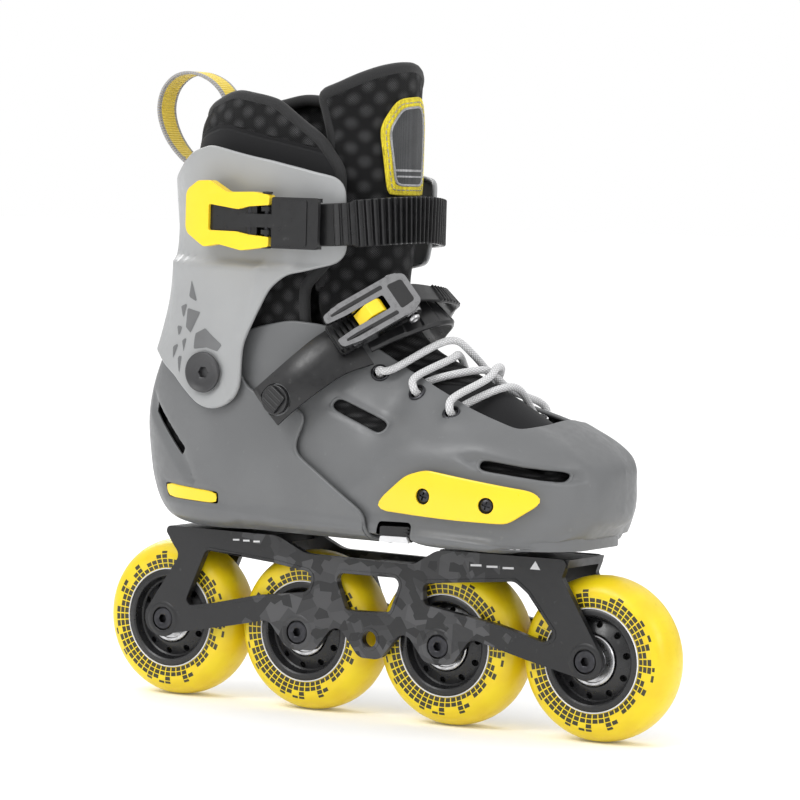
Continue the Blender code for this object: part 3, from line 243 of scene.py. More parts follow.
class Tree:
    """A material's nodes, built by short calls."""

    def __init__(self, name):
        self.material = bpy.data.materials.new(name)
        self.material.use_nodes = True
        self.nodes = self.material.node_tree.nodes
        self.links = self.material.node_tree.links
        self.shader = self.nodes["Principled BSDF"]

    def node(self, kind, values=(), **settings):
        made = self.nodes.new("ShaderNode" + kind)
        for key, value in settings.items():
            setattr(made, key, value)
        for key, value in dict(values).items():
            if isinstance(value, bpy.types.NodeSocket):
                self.links.new(value, made.inputs[key])
            else:
                made.inputs[key].default_value = value
        return made

    def math(self, operation, a, b=0.0, c=0.0, clamp=False):
        made = self.node("Math", {0: a, 1: b, 2: c}, operation=operation, use_clamp=clamp)
        return made.outputs[0]

    def ramp(self, value, low, high, to_low=0.0, to_high=1.0):
        """value mapped smoothly from low..high to to_low..to_high."""
        made = self.node(
            "MapRange",
            {"Value": value, "From Min": low, "From Max": high, "To Min": to_low, "To Max": to_high},
            interpolation_type="SMOOTHSTEP",
        )
        return made.outputs["Result"]

    def mix(self, share, a, b):
        made = self.node("Mix", {"Factor": share}, data_type="RGBA")
        for key, value in ((6, a), (7, b)):
            if isinstance(value, bpy.types.NodeSocket):
                self.links.new(value, made.inputs[key])
            else:
                made.inputs[key].default_value = (*value, 1.0)
        return made.outputs[2]

    def point(self, scale=1.0):
        """The place on the object, in millimetres times scale."""
        coords = self.node("TexCoord").outputs["Object"]
        return self.node("VectorMath", {0: coords, 1: (1000 * scale,) * 3}, operation="MULTIPLY").outputs[0]

    def noise(self, size, detail=2.0, where=None):
        """Noise from 0 to 1 with features of that size in millimetres."""
        made = self.node("TexNoise", {"Vector": where or self.point(), "Scale": 1 / size, "Detail": detail})
        return made.outputs["Fac"]

    def attribute(self, name):
        return self.node("Attribute", attribute_name=name).outputs["Fac"]

    def uv(self):
        """Along and across a strap, or along and round a cord, in millimetres."""
        split = self.node("SeparateXYZ", {0: self.node("UVMap").outputs[0]})
        return split.outputs[0], split.outputs[1]

    def bump(self, height, depth):
        """height is from 0 to 1, and depth is how high 1 stands, in millimetres."""
        values = {"Height": height, "Distance": depth * MM, "Strength": 1.0}
        if self.shader.inputs["Normal"].links:
            values["Normal"] = self.shader.inputs["Normal"].links[0].from_socket
        made = self.node("Bump", values)
        self.links.new(made.outputs[0], self.shader.inputs["Normal"])

    def put(self, **inputs):
        for key, value in inputs.items():
            socket = self.shader.inputs[key.replace("_", " ").title()]
            if isinstance(value, bpy.types.NodeSocket):
                self.links.new(value, socket)
            elif isinstance(value, tuple):
                socket.default_value = (*value, 1.0)
            else:
                socket.default_value = value
        return self.material


def moulded(name, colour, roughness=0.4, grain=0.12, coat=0.0, spread=0.12):
    """Injection-moulded plastic: a satin grain, slow colour drift and faint handling marks."""
    t = Tree(name)
    slow, marks, fine = t.noise(28, 3), t.noise(3.2, 6), t.noise(0.35, 2)
    darker = tuple(c * (1 - spread) for c in colour)
    lighter = tuple(min(1.0, c * (1 + spread)) for c in colour)
    drift = t.mix(t.ramp(slow, 0.3, 0.7), darker, lighter)
    scuff = t.ramp(marks, 0.66, 0.78, 0.0, 0.25)
    tone = t.mix(scuff, drift, tuple(min(1.0, 0.7 * c + 0.12) for c in colour))
    t.bump(fine, grain * 0.12)
    t.bump(t.noise(1.1, 2), grain * 0.1)
    rough = t.ramp(t.math("ADD", marks, t.math("MULTIPLY", fine, 0.3)), 0.35, 0.95, roughness - 0.07,
        roughness + 0.1)
    t.shader.inputs["Coat Weight"].default_value = coat
    t.shader.inputs["Coat Roughness"].default_value = 0.25
    return t.put(base_color=tone, roughness=rough)


def metal(name, colour, roughness, brushed=0.0):
    t = Tree(name)
    where = t.node("VectorMath", {0: t.point(), 1: (1.0, 0.06, 1.0)}, operation="MULTIPLY").outputs[0]
    streaks, marks = t.noise(0.25, 2, where), t.noise(2.5, 5)
    tone = t.mix(t.ramp(marks, 0.45, 0.8), colour, tuple(c * 0.7 for c in colour))
    t.bump(streaks, 0.012 * (1 + brushed))
    return t.put(base_color=tone, roughness=t.ramp(marks, 0.3, 0.8, roughness, roughness + 0.16),
        metallic=1.0)


def lattice(t, u, v, across, along):
    """0 in the middle of a diamond lattice's cells to about 0.7 at the corners. Cells are across by along mm."""
    a = t.math("ADD", t.math("MULTIPLY", u, 1 / across), t.math("MULTIPLY", v, 1 / along))
    b = t.math("SUBTRACT", t.math("MULTIPLY", u, 1 / across), t.math("MULTIPLY", v, 1 / along))
    where = t.node("CombineXYZ", {0: a, 1: b}).outputs[0]
    cells = t.node("TexVoronoi", {"Vector": where, "Scale": 1.0, "Randomness": 0.0},
        voronoi_dimensions="2D")
    return cells.outputs["Distance"]


def spacer_mesh(name, sewn=False):
    """Black spacer mesh, a lattice of pads with a fine open knit, and plain cloth where `smooth` is above 0. The
    raised pads and knit strands carry a painted highlight, and the gaps between them are painted near-black as
    shade.
    """
    t = Tree(name)
    u, v = t.attribute("su"), t.attribute("sv")
    pads = t.ramp(lattice(t, u, v, 12.6, 11.2), 0.1, 0.5, 1.0, 0.0)
    knit = t.ramp(lattice(t, u, v, 1.15, 1.0), 0.18, 0.5)
    strand = t.noise(0.5, 3)
    smooth = t.ramp(t.attribute("smooth"), -0.4, 0.4)
    rough_cloth = t.math("SUBTRACT", 1.0, smooth)
    # painted highlight: the raised pads and knit strands are painted lighter, and the gaps between them stay
    # near-black as painted shade
    painted_highlight = t.math("MULTIPLY", t.math("MULTIPLY", pads, strand), knit)
    tone = t.mix(painted_highlight, (0.0035, 0.0035, 0.004), (0.105, 0.105, 0.108))
    tone = t.mix(smooth, tone, (0.012, 0.012, 0.013))
    t.bump(t.math("MULTIPLY", pads, rough_cloth), 1.5)
    t.bump(t.math("MULTIPLY", knit, rough_cloth), 0.28)
    t.bump(t.noise(0.4, 2), 0.06)
    if sewn:
        edge = t.math("ABSOLUTE", t.math("SUBTRACT", t.attribute("smooth"), 1.6))
        dash = t.math("GREATER_THAN", t.math("FRACT", t.math("MULTIPLY", t.attribute("sx"), 1 / 3.4)), 0.28)
        thread = t.math("MULTIPLY", t.ramp(edge, 0.25, 0.6, 1.0, 0.0), dash)
        tone = t.mix(thread, tone, (0.05, 0.05, 0.052))
        t.bump(t.ramp(edge, 0.0, 1.1), 0.5)
        t.bump(thread, 0.35)
    t.shader.inputs["Sheen Weight"].default_value = 0.04
    t.shader.inputs["Sheen Roughness"].default_value = 0.5
    t.shader.inputs["Specular IOR Level"].default_value = 0.25
    return t.put(base_color=tone, roughness=0.85)


def cloth(name, colour, thread=0.7, sheen=0.08):
    """Smooth woven cloth, by the place on the object."""
    t = Tree(name)
    weave = t.node("TexVoronoi", {"Vector": t.point(), "Scale": 1 / thread,
        "Randomness": 0.35}).outputs["Distance"]
    tone = t.mix(t.ramp(weave, 0.1, 0.7), tuple(min(1, c * 1.35) for c in colour),
        tuple(c * 0.6 for c in colour))
    t.bump(weave, 0.15)
    t.shader.inputs["Sheen Weight"].default_value = sheen
    return t.put(base_color=t.mix(t.ramp(t.noise(9, 3), 0.3, 0.7, 0.0, 0.25), tone, (0.0, 0.0, 0.0)),
        roughness=0.8)


def webbing(name, colour, edge, half):
    """Ribbed webbing with edges of another colour, and painted shade in the troughs between its ribs."""
    t = Tree(name)
    u, v = t.uv()
    ribs = t.math("SINE", t.math("MULTIPLY", u, 2 * math.pi / 1.25))
    cords = t.math("SINE", t.math("MULTIPLY", v, 2 * math.pi / 0.9))
    at_edge = t.ramp(t.math("ABSOLUTE", v), half - 2.0, half - 1.7)
    worn = t.mix(t.ramp(t.noise(1.4, 4), 0.35, 0.75), colour, tuple(c * 0.85 for c in colour))
    tone = t.mix(at_edge, worn, edge)
    # painted shade: the troughs between the ribs are painted darker
    tone = t.mix(t.ramp(ribs, -1.0, -0.2, 0.3, 0.0), tone, tuple(c * 0.45 for c in colour))
    t.bump(t.ramp(ribs, -1, 1), 0.28)
    t.bump(t.ramp(cords, -1, 1), 0.1)
    t.shader.inputs["Sheen Weight"].default_value = 0.3
    return t.put(base_color=tone, roughness=0.75)


def braid(name, colour):
    """A round braided cord, with painted shade in the gaps between its strands."""
    t = Tree(name)
    u, v = t.uv()
    pattern = t.ramp(lattice(t, u, v, 1.5, 1.33), 0.12, 0.55, 1.0, 0.0)
    # painted shade: the low gaps between the raised strands are painted darker
    tone = t.mix(pattern, tuple(c * 0.62 for c in colour), colour)
    tone = t.mix(t.ramp(t.noise(5, 3), 0.5, 0.8, 0.0, 0.3), tone, tuple(c * 0.7 for c in colour))
    t.bump(pattern, 0.3)
    t.shader.inputs["Sheen Weight"].default_value = 0.4
    return t.put(base_color=tone, roughness=0.8)


def urethane(name, colour):
    """Wheel urethane with a printed ring of dark squares that thins out away from the core, on both faces."""
    t = Tree(name)
    x, y, z = t.node("SeparateXYZ", {0: t.point()}).outputs
    radius = t.math("SQRT", t.math("ADD", t.math("MULTIPLY", x, x), t.math("MULTIPLY", z, z)))
    turn = t.math("DIVIDE", t.math("ARCTAN2", z, x), 2 * math.pi)
    rings, steps = 2.15, 54.0
    ring = t.math("DIVIDE", t.math("SUBTRACT", radius, 22.9), rings)
    step = t.math("MULTIPLY", turn, steps)
    cell = t.node("CombineXYZ", {0: t.math("FLOOR", ring), 1: t.math("FLOOR", step)}).outputs[0]
    chance = t.node("TexWhiteNoise", {"Vector": cell}, noise_dimensions="3D").outputs["Value"]
    wave = t.math("SINE", t.math("MULTIPLY", turn, 2 * math.pi * 2))
    limit = t.math("ADD", t.math("MULTIPLY", t.math("FLOOR", ring), -0.3), t.math("MULTIPLY", wave, 0.28))
    shown = t.math("LESS_THAN", chance, t.math("ADD", limit, 1.15))
    gap = 0.09
    middle = lambda value: t.math("ABSOLUTE", t.math("SUBTRACT", t.math("FRACT", value), 0.5))
    square = t.math("MULTIPLY", t.math("LESS_THAN", middle(ring), 0.5 - gap),
        t.math("LESS_THAN", middle(step), 0.5 - gap))
    zone = t.math("MULTIPLY", t.math("GREATER_THAN", ring, 0.0), t.math("LESS_THAN", ring, 3.6))
    ink = t.math("MULTIPLY", t.math("MULTIPLY", square, shown), zone)
    slow = t.noise(14, 3)
    tone = t.mix(t.ramp(slow, 0.3, 0.75), colour, (colour[0] * 0.93, colour[1] * 0.86, colour[2]))
    dirt = t.math("MULTIPLY", t.ramp(t.noise(2.2, 5), 0.55, 0.8), t.ramp(radius, 33.0, 36.0, 0.0, 0.22))
    tone = t.mix(dirt, tone, (0.35, 0.28, 0.05))
    tone = t.mix(ink, tone, (0.035, 0.03, 0.012))
    t.bump(t.noise(0.9, 3), 0.02)
    t.shader.inputs["Subsurface Weight"].default_value = 0.12
    t.shader.inputs["Subsurface Radius"].default_value = (0.004, 0.003, 0.0006)
    return t.put(base_color=tone, roughness=t.ramp(t.noise(2.2, 5), 0.3, 0.8, 0.3, 0.46))


def camouflage(name, dark, light):
    """Satin black with an angular two-tone pattern that fades out towards both ends of the frame."""
    t = Tree(name)
    x, y, z = t.node("SeparateXYZ", {0: t.point()}).outputs
    where = t.node("CombineXYZ", {0: x, 1: t.math("MULTIPLY", z, 1.15)}).outputs[0]
    warped = t.node("TexVoronoi", {"Vector": where, "Scale": 1 / 9.0}, voronoi_dimensions="2D")
    cells = t.node("TexVoronoi", {"Vector": where, "Scale": 1 / 5.0}, voronoi_dimensions="2D")
    big = t.node("SeparateXYZ", {0: warped.outputs["Color"]}).outputs[0]
    small = t.node("SeparateXYZ", {0: cells.outputs["Color"]}).outputs[1]
    away = t.math("ABSOLUTE", t.math("SUBTRACT", x, 2.0))
    present = t.math("GREATER_THAN", t.math("ADD", small, t.ramp(away, 40.0, 96.0, 0.3, -0.75)), 0.62)
    shade = t.math("MULTIPLY", present, t.ramp(big, 0.1, 0.9, 0.25, 1.0))
    tone = t.mix(shade, dark, light)
    marks, fine = t.noise(3.0, 6), t.noise(0.35, 2)
    tone = t.mix(t.ramp(marks, 0.64, 0.8, 0.0, 0.2), tone, (0.12, 0.12, 0.12))
    t.bump(fine, 0.014)
    return t.put(base_color=tone, roughness=t.ramp(marks, 0.3, 0.9, 0.34, 0.52))


GREY = moulded("shell_grey", (0.118, 0.121, 0.124), 0.42, coat=0.08, spread=0.05)
LIGHT = moulded("cuff_grey", (0.30, 0.305, 0.308), 0.36, 0.08, coat=0.15, spread=0.03)
SHARD = moulded("shard_grey", (0.125, 0.127, 0.13), 0.4, 0.05)
YELLOW = moulded("yellow_gloss", (0.86, 0.61, 0.012), 0.34, 0.06, coat=0.2, spread=0.03)
BLACK = moulded("satin_black", (0.0065, 0.0065, 0.0072), 0.33, 0.12)
DISC = moulded("pivot_grey", (0.034, 0.034, 0.036), 0.35, 0.1)
CORE = moulded("core_black", (0.014, 0.014, 0.015), 0.3, 0.08)
CAMO = camouflage("frame_black", (0.0085, 0.0085, 0.0095), (0.06, 0.06, 0.063))
TYRE = urethane("urethane_yellow", (0.78, 0.60, 0.006))
LATCH = moulded("latch_grey", (0.62, 0.62, 0.63), 0.4, 0.06)
PRINT = moulded("print_white", (0.72, 0.72, 0.73), 0.5, 0.05)
MESH = spacer_mesh("spacer_mesh", sewn=True)
TONGUE_MESH = spacer_mesh("tongue_mesh")
BINDING = cloth("binding_black", (0.013, 0.013, 0.014), 0.45)
LINING = cloth("lining_black", (0.02, 0.02, 0.021), 0.8)
WEB = webbing("pull_webbing", (0.9, 0.66, 0.02), (0.3, 0.3, 0.32), 7.0)
LACE = braid("lace_white", (0.8, 0.8, 0.81))
CHROME = metal("dark_chrome", (0.24, 0.24, 0.245), 0.13)
STEEL = metal("steel", (0.55, 0.55, 0.56), 0.24, 1.0)
BLACK_STEEL = metal("black_steel", (0.055, 0.055, 0.06), 0.3, 0.5)
BADGE_BORDER = cloth("badge_yellow", (0.9, 0.66, 0.02), 0.6)
BADGE_FIELD = cloth("badge_grey", (0.05, 0.052, 0.055), 0.35)
BADGE_PIPE = cloth("badge_pipe", (0.4, 0.4, 0.41), 0.4)


# ---------------------------------------------------------------- pieces and shapes


def make(name, bm, finish, body=None, node=None, origin=(0, 0, 0), bevel=0.0, segments=2,
    sharp=35):
    """Turns a bmesh in millimetres into a piece in metres that rides on a body and stands for a CAD node."""
    bmesh.ops.translate(bm, verts=bm.verts, vec=-Vector(origin))
    bmesh.ops.scale(bm, verts=bm.verts, vec=(MM, MM, MM))
    mesh = bpy.data.meshes.new(name)
    bm.to_mesh(mesh)
    bm.free()
    mesh.shade_smooth()
    mesh.set_sharp_from_angle(angle=math.radians(sharp))
    mesh.materials.append(finish)
    obj = bpy.data.objects.new(name, mesh)
    obj.location = Vector(origin) * MM
    bpy.context.scene.collection.objects.link(obj)
    if bevel:
        add_bevel(obj, bevel, segments)
    if body:
        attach(obj, body)
    if node:
        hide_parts(*([node] if isinstance(node, str) else node))
    return obj


def add_bevel(obj, width, segments=2, angle=38):
    modifier = obj.modifiers.new("edges", "BEVEL")
    modifier.width = width * MM
    modifier.segments = segments
    modifier.limit_method = "ANGLE"
    modifier.angle_limit = math.radians(angle)
    modifier.harden_normals = True
    modifier.use_clamp_overlap = True
    return obj


def solidify(obj, thickness, bevel=0.0):
    modifier = obj.modifiers.new("thickness", "SOLIDIFY")
    modifier.thickness = thickness * MM
    modifier.offset = -1.0
    modifier.use_even_offset = True
    modifier.thickness_clamp = 2.0
    if bevel:
        add_bevel(obj, bevel, 2, 50)
    return obj


LEAST_KEPT = 0.8  # share of an object's faces that a good cut leaves


def cut(obj, cutters):
    """Cuts with one mesh after another and removes it, and applies every modifier but the bevel.

    A cut that takes away most of the faces has failed, so the other solver is tried, and then it is left out.
    """
    bevels = [m for m in obj.modifiers if m.type == "BEVEL"]
    for bevel in bevels:
        bevel.show_viewport = False
    bake(obj)
    for cutter in cutters:
        whole = obj.data
        for solver in ("EXACT", "FAST"):
            modifier = obj.modifiers.new("cut", "BOOLEAN")
            modifier.solver = solver
            modifier.object = cutter
            bake(obj)
            if len(obj.data.polygons) > LEAST_KEPT * len(whole.polygons):
                break
            obj.data = whole
    for cutter in cutters:
        bpy.data.objects.remove(cutter)
    for bevel in bevels:
        bevel.show_viewport = True
    obj.data.set_sharp_from_angle(angle=math.radians(35))
    return obj


def bake(obj):
    """Applies what the viewport shows, and removes those modifiers."""
    graph = bpy.context.evaluated_depsgraph_get()
    graph.update()
    obj.data = bpy.data.meshes.new_from_object(
        obj.evaluated_get(graph), preserve_all_data_layers=True, depsgraph=graph
    )
    for modifier in [m for m in obj.modifiers if m.type != "BEVEL"]:
        obj.modifiers.remove(modifier)


def joined(*parts):
    """One bmesh out of several."""
    whole = bmesh.new()
    for part in parts:
        mesh = bpy.data.meshes.new("part")
        part.to_mesh(mesh)
        part.free()
        whole.from_mesh(mesh)
        bpy.data.meshes.remove(mesh)
    return whole


def strip(path, across, profile):
    """A profile of (across, out) points swept along a path, with a UV map in millimetres.

    profile may be a function of the point's number and its share of the way.
    """
    bm = bmesh.new()
    uv = bm.loops.layers.uv.new("UVMap")
    path = [Vector(p) for p in path]
    across_all = across if isinstance(across, list) else [across] * len(path)
    rings, run = [], 0.0
    for i, (point, tangent) in enumerate(zip(path, frame_axes(path))):
        side = Vector(across_all[i])
        side = (side - tangent * side.dot(tangent)).normalized()
        out = tangent.cross(side).normalized()
        run += (point - path[i - 1]).length if i else 0.0
        corners = profile(i, i / (len(path) - 1)) if callable(profile) else profile
        rings.append([(bm.verts.new(point + side * a + out * b), run, a) for a, b in corners])
    n = len(rings[0])
    for a, b in zip(rings, rings[1:]):
        for k in range(n):
            corners = (a[k], a[(k + 1) % n], b[(k + 1) % n], b[k])
            face = bm.faces.new([c[0] for c in corners])
            for loop, c in zip(face.loops, corners):
                loop[uv].uv = (c[1], c[2])
    bm.faces.new([c[0] for c in rings[0]])
    bm.faces.new([c[0] for c in rings[-1]])
    bmesh.ops.recalc_face_normals(bm, faces=bm.faces)
    return bm


def flat_profile(width, thick, chamfer=0.5, high=0.0):
    half, top, c = width / 2, thick + high, min(chamfer, thick * 0.45)
    return ((-half + c, 0), (half - c, 0), (half, c), (half, top - c), (half - c, top), (-half + c, top),
        (-half, top - c), (-half, c))


def tube(path, radius, sides=12, squeeze=1.0, across=None):
    """A round or oval cord along a path, with a UV map of the way along and round it in millimetres."""
    bm = bmesh.new()
    uv = bm.loops.layers.uv.new("UVMap")
    path = [Vector(p) for p in path]
    tangents = frame_axes(path)
    side = Vector((0, 0, 1)).cross(tangents[0])
    side = side if side.length > 0.1 else Vector((0, 1, 0))
    rings, run = [], 0.0
    for i, (point, tangent) in enumerate(zip(path, tangents)):
        side = Vector(across[i]) if across else side
        side = (side - tangent * side.dot(tangent)).normalized()
        out = tangent.cross(side)
        run += (point - path[i - 1]).length if i else 0.0
        ring = []
        for k in range(sides):
            angle = 2 * math.pi * k / sides
            place_at = point + side * radius * math.cos(angle) + out * radius * squeeze * math.sin(angle)
            ring.append((bm.verts.new(place_at), run, radius * angle))
        rings.append(ring)
    for a, b in zip(rings, rings[1:]):
        for k in range(sides):
            j = (k + 1) % sides
            face = bm.faces.new((a[k][0], a[j][0], b[j][0], b[k][0]))
            turn = 2 * math.pi * radius if j == 0 else 0.0
            for loop, c, extra in zip(face.loops, (a[k], a[j], b[j], b[k]), (0, turn, turn, 0)):
                loop[uv].uv = (c[1], c[2] + extra)
    bm.faces.new([c[0] for c in rings[0]])
    bm.faces.new([c[0] for c in rings[-1]])
    bmesh.ops.recalc_face_normals(bm, faces=bm.faces)
    return bm


def ring_shape(centre, axis, radius, wire, sides=28):
    """A closed ring of round wire."""
    axis = Vector(axis).normalized()
    a = axis.orthogonal().normalized()
    b = axis.cross(a)
    bm = bmesh.new()
    rings = []
    for i in range(sides):
        angle = 2 * math.pi * i / sides
        out = a * math.cos(angle) + b * math.sin(angle)
        rings.append([
            bm.verts.new(Vector(centre) + out * (radius + wire * math.cos(t)) + axis * wire * math.sin(t))
            for t in np.linspace(0, 2 * math.pi, 9)[:-1]
        ])
    for i in range(sides):
        for k in range(8):
            p, q = rings[i], rings[(i + 1) % sides]
            bm.faces.new((p[k], q[k], q[(k + 1) % 8], p[(k + 1) % 8]))
    bmesh.ops.recalc_face_normals(bm, faces=bm.faces)
    return bm


def spline(points, count, closed=False):
    """count points on a smooth curve through the given ones (Catmull-Rom), for arrays of any shape."""
    p = np.asarray(points, float)
    n = len(p)
    if closed:
        s = np.arange(count) * n / count
        i = s.astype(int)
        before, here, after, beyond = (p[(i + k) % n] for k in (-1, 0, 1, 2))
    else:
        ends = np.concatenate([[2 * p[0] - p[1]], p, [2 * p[-1] - p[-2]]])
        s = np.linspace(0, n - 1, count)
        i = np.minimum(s.astype(int), n - 2)
        before, here, after, beyond = (ends[i + k] for k in range(4))
    u = (s - i).reshape([-1] + [1] * (p.ndim - 1))
    return 0.5 * (
        2 * here
        + (after - before) * u
        + (2 * before - 5 * here + 4 * after - beyond) * u**2
        + (3 * here - before - 3 * after + beyond) * u**3
    )


def rounded(corners, step=25.0):
    """The outline of a polygon whose corners (x, z, radius) are rounded by arcs."""
    outline = []
    points = [Vector(c[:2]) for c in corners]
    for i, corner in enumerate(corners):
        here, radius = points[i], corner[2] if len(corner) > 2 else 0.0
        back = (points[i - 1] - here).normalized()
        ahead = (points[(i + 1) % len(points)] - here).normalized()
        half = back.angle(ahead) / 2
        if radius <= 0 or half > math.radians(88):
            outline.append(tuple(here))
            continue
        room = min((points[i - 1] - here).length, (points[(i + 1) % len(points)] - here).length)
        radius = min(radius, 0.45 * room * math.tan(half))
        centre = here + (back + ahead).normalized() * (radius / math.sin(half))
        start = here + back * (radius / math.tan(half)) - centre
        end = here + ahead * (radius / math.tan(half)) - centre
        turn = start.angle_signed(end)
        arcs = max(1, math.ceil(abs(turn) / math.radians(step)))
        for k in range(arcs + 1):
            outline.append(tuple(centre + Matrix.Rotation(-turn * k / arcs, 2) @ start))
    return outline


def circle(x, z, radius, sides, phase=0.0):
    angles = [2 * math.pi * (k + phase) / sides for k in range(sides)]
    return [(x + radius * math.cos(a), z + radius * math.sin(a)) for a in angles]


def distance_inside(outline):
    """A function of arrays x, z: how far each point is inside the outline, negative outside."""
    a = np.array([p[:2] for p in outline], float)
    b = np.roll(a, -1, axis=0)
    ab = b - a
    length2 = np.maximum((ab**2).sum(1), 1e-12)

    def field(x, z):
        p = np.stack([x, z], -1)[:, None, :]
        t = np.clip(((p - a) * ab).sum(-1) / length2, 0, 1)
        near = np.sqrt((((p - a) - ab * t[..., None]) ** 2).sum(-1)).min(1)
        crosses = (a[:, 1] > p[..., 1]) != (b[:, 1] > p[..., 1])
        rise = np.where(np.abs(ab[:, 1]) < 1e-12, 1e-12, ab[:, 1])
        at = a[:, 0] + (p[..., 1] - a[:, 1]) / rise * ab[:, 0]
        odd = (crosses & (p[..., 0] < at)).sum(1) % 2 == 1
        return np.where(odd, near, -near)

    return field


def frame_axes(path):
    """The tangent of a path at each of its points."""
    path = [Vector(p) for p in path]
    ends = range(len(path))
    return [(path[min(i + 1, ends[-1])] - path[max(i - 1, 0)]).normalized() for i in ends]


def prism(outline, y0, y1, holes=()):
    """A plate between y0 and y1 whose outline and holes are (x, z) points."""
    loops = [list(outline), *[list(h) for h in holes]]
    flat = [[Vector((x, z, 0)) for x, z in loop] for loop in loops]
    triangles = geometry.tessellate_polygon(flat)
    points = [p for loop in loops for p in loop]
    bm = bmesh.new()
    near = [bm.verts.new((x, min(y0, y1), z)) for x, z in points]
    far = [bm.verts.new((x, max(y0, y1), z)) for x, z in points]
    for side in (near, far):
        for t in triangles:
            bm.faces.new([side[i] for i in t])
    first = 0
    for loop in loops:
        for k in range(len(loop)):
            i, j = first + k, first + (k + 1) % len(loop)
            bm.faces.new((near[i], near[j], far[j], far[i]))
        first += len(loop)
    bmesh.ops.recalc_face_normals(bm, faces=bm.faces)
    return bm


def place(bm, origin, e1, e2, n):
    """Moves a prism made in (x, y, z) so that x runs along e1, z along e2 and -y along n."""
    turn = Matrix((Vector(e1), -Vector(n), Vector(e2))).transposed().to_4x4()
    bmesh.ops.transform(bm, verts=bm.verts, matrix=Matrix.Translation(Vector(origin)) @ turn)
    bmesh.ops.recalc_face_normals(bm, faces=bm.faces)
    return bm


def turned(profile, sides, centre, phase=0.5, socket=0.0):
    """A solid turned about a line along Y. The profile is a closed loop of (radius, y), or ends on the axis.

    Radii below socket follow a hexagon instead of a circle.
    """
    bm = bmesh.new()
    rings = []
    for radius, y in profile:
        if radius < 1e-6:
            rings.append([bm.verts.new((centre[0], centre[1] + y, centre[2]))])
            continue
        ring = []
        for k in range(sides):
            angle = 2 * math.pi * (k + phase) / sides
            r = radius
            if radius < socket:
                r = radius * math.cos(math.pi / 6) / math.cos(angle % (math.pi / 3) - math.pi / 6)
            ring.append(
                bm.verts.new((centre[0] + r * math.cos(angle), centre[1] + y,
                    centre[2] + r * math.sin(angle)))
            )
        rings.append(ring)
    closed = profile[0][0] > 1e-6
    for a, b in zip(rings, rings[1:] + rings[:1] if closed else rings[1:]):
        for k in range(sides):
            loop = [a[k % len(a)], a[(k + 1) % len(a)], b[(k + 1) % len(b)], b[k % len(b)]]
            bm.faces.new(list(dict.fromkeys(loop)))
    bmesh.ops.recalc_face_normals(bm, faces=bm.faces)
    return bm


def rod(start, end, radius, sides=10):
    bm = bmesh.new()
    start, end = Vector(start), Vector(end)
    axis = end - start
    bmesh.ops.create_cone(
        bm, cap_ends=True, segments=sides, radius1=radius, radius2=radius, depth=axis.length
    )
    turn = axis.to_track_quat("Z", "Y").to_matrix().to_4x4()
    bmesh.ops.transform(bm, verts=bm.verts, matrix=Matrix.Translation((start + end) / 2) @ turn)
    return bm


def boot_grid(rows=ROWS, columns=COLUMNS):
    """Points of the boot's outer surface: rows from the toe to the top, columns round each section."""
    sections = []
    for (fx, fz), (bx, bz), widths in SECTIONS:
        outer = [(fx + (bx - fx) * t, w, fz + (bz - fz) * t) for t, w in zip(GIRTH, (0, *widths, 0))]
        lateral = [(x, -y, z) for x, y, z in outer]
        sections.append(lateral + outer[-2:0:-1])
    rings = spline(sections, rows)
    grid = spline(rings.transpose(1, 0, 2), columns, closed=True).transpose(1, 0, 2)
    at, shift = zip(*CENTRE_LINE_SHIFT)
    grid[..., 1] += np.interp(grid[..., 0], at, shift)
    return grid


def grid_normals(grid):
    along = np.gradient(grid, axis=0)
    around = (np.roll(grid, -1, axis=1) - np.roll(grid, 1, axis=1)) / 2
    normal = np.cross(around, along)
    length = np.linalg.norm(normal, axis=-1, keepdims=True)
    normal = normal / np.maximum(length, 1e-9)
    normal[0] = (1, 0, 0)
    centre = grid.mean(axis=1, keepdims=True)
    flip = np.sign(((grid - centre) * normal).sum(-1)[len(grid) // 2].mean())
    normal[1:] *= flip
    return normal


def trim(bm, field):
    """Cuts a surface along field = 0 and keeps the part where it is positive.

    field takes arrays x, y, z, row and girth.
    """
    bm.verts.ensure_lookup_table()
    row, girth = bm.verts.layers.float["row"], bm.verts.layers.float["girth"]

    def values():
        data = np.array([(*v.co, v[row], v[girth]) for v in bm.verts])
        return dict(zip(bm.verts, field(*data.T)))

    value = values()
    for edge in bm.edges:
        a, b = edge.verts
        if value[a] * value[b] < 0:
            near, far = (a, b) if abs(value[a]) < abs(value[b]) else (b, a)
            share = value[near] / (value[near] - value[far])
            if share < 0.15:
                near.co = near.co.lerp(far.co, share)
                value[near] = 0.0
    fresh = [v for v in bm.verts if value[v] == 0.0]
    for edge in list(bm.edges):
        a, b = edge.verts
        if value[a] * value[b] < 0:
            _, made = bmesh.utils.edge_split(edge, a, value[a] / (value[a] - value[b]))
            value[made] = 0.0
            fresh.append(made)
    bmesh.ops.connect_verts(bm, verts=fresh)
    lost = [f for f in bm.faces if sum(value[v] for v in f.verts) <= 0]
    bmesh.ops.delete(bm, geom=lost, context="FACES")
    bmesh.ops.delete(bm, geom=[v for v in bm.verts if not v.link_faces], context="VERTS")
    return bm


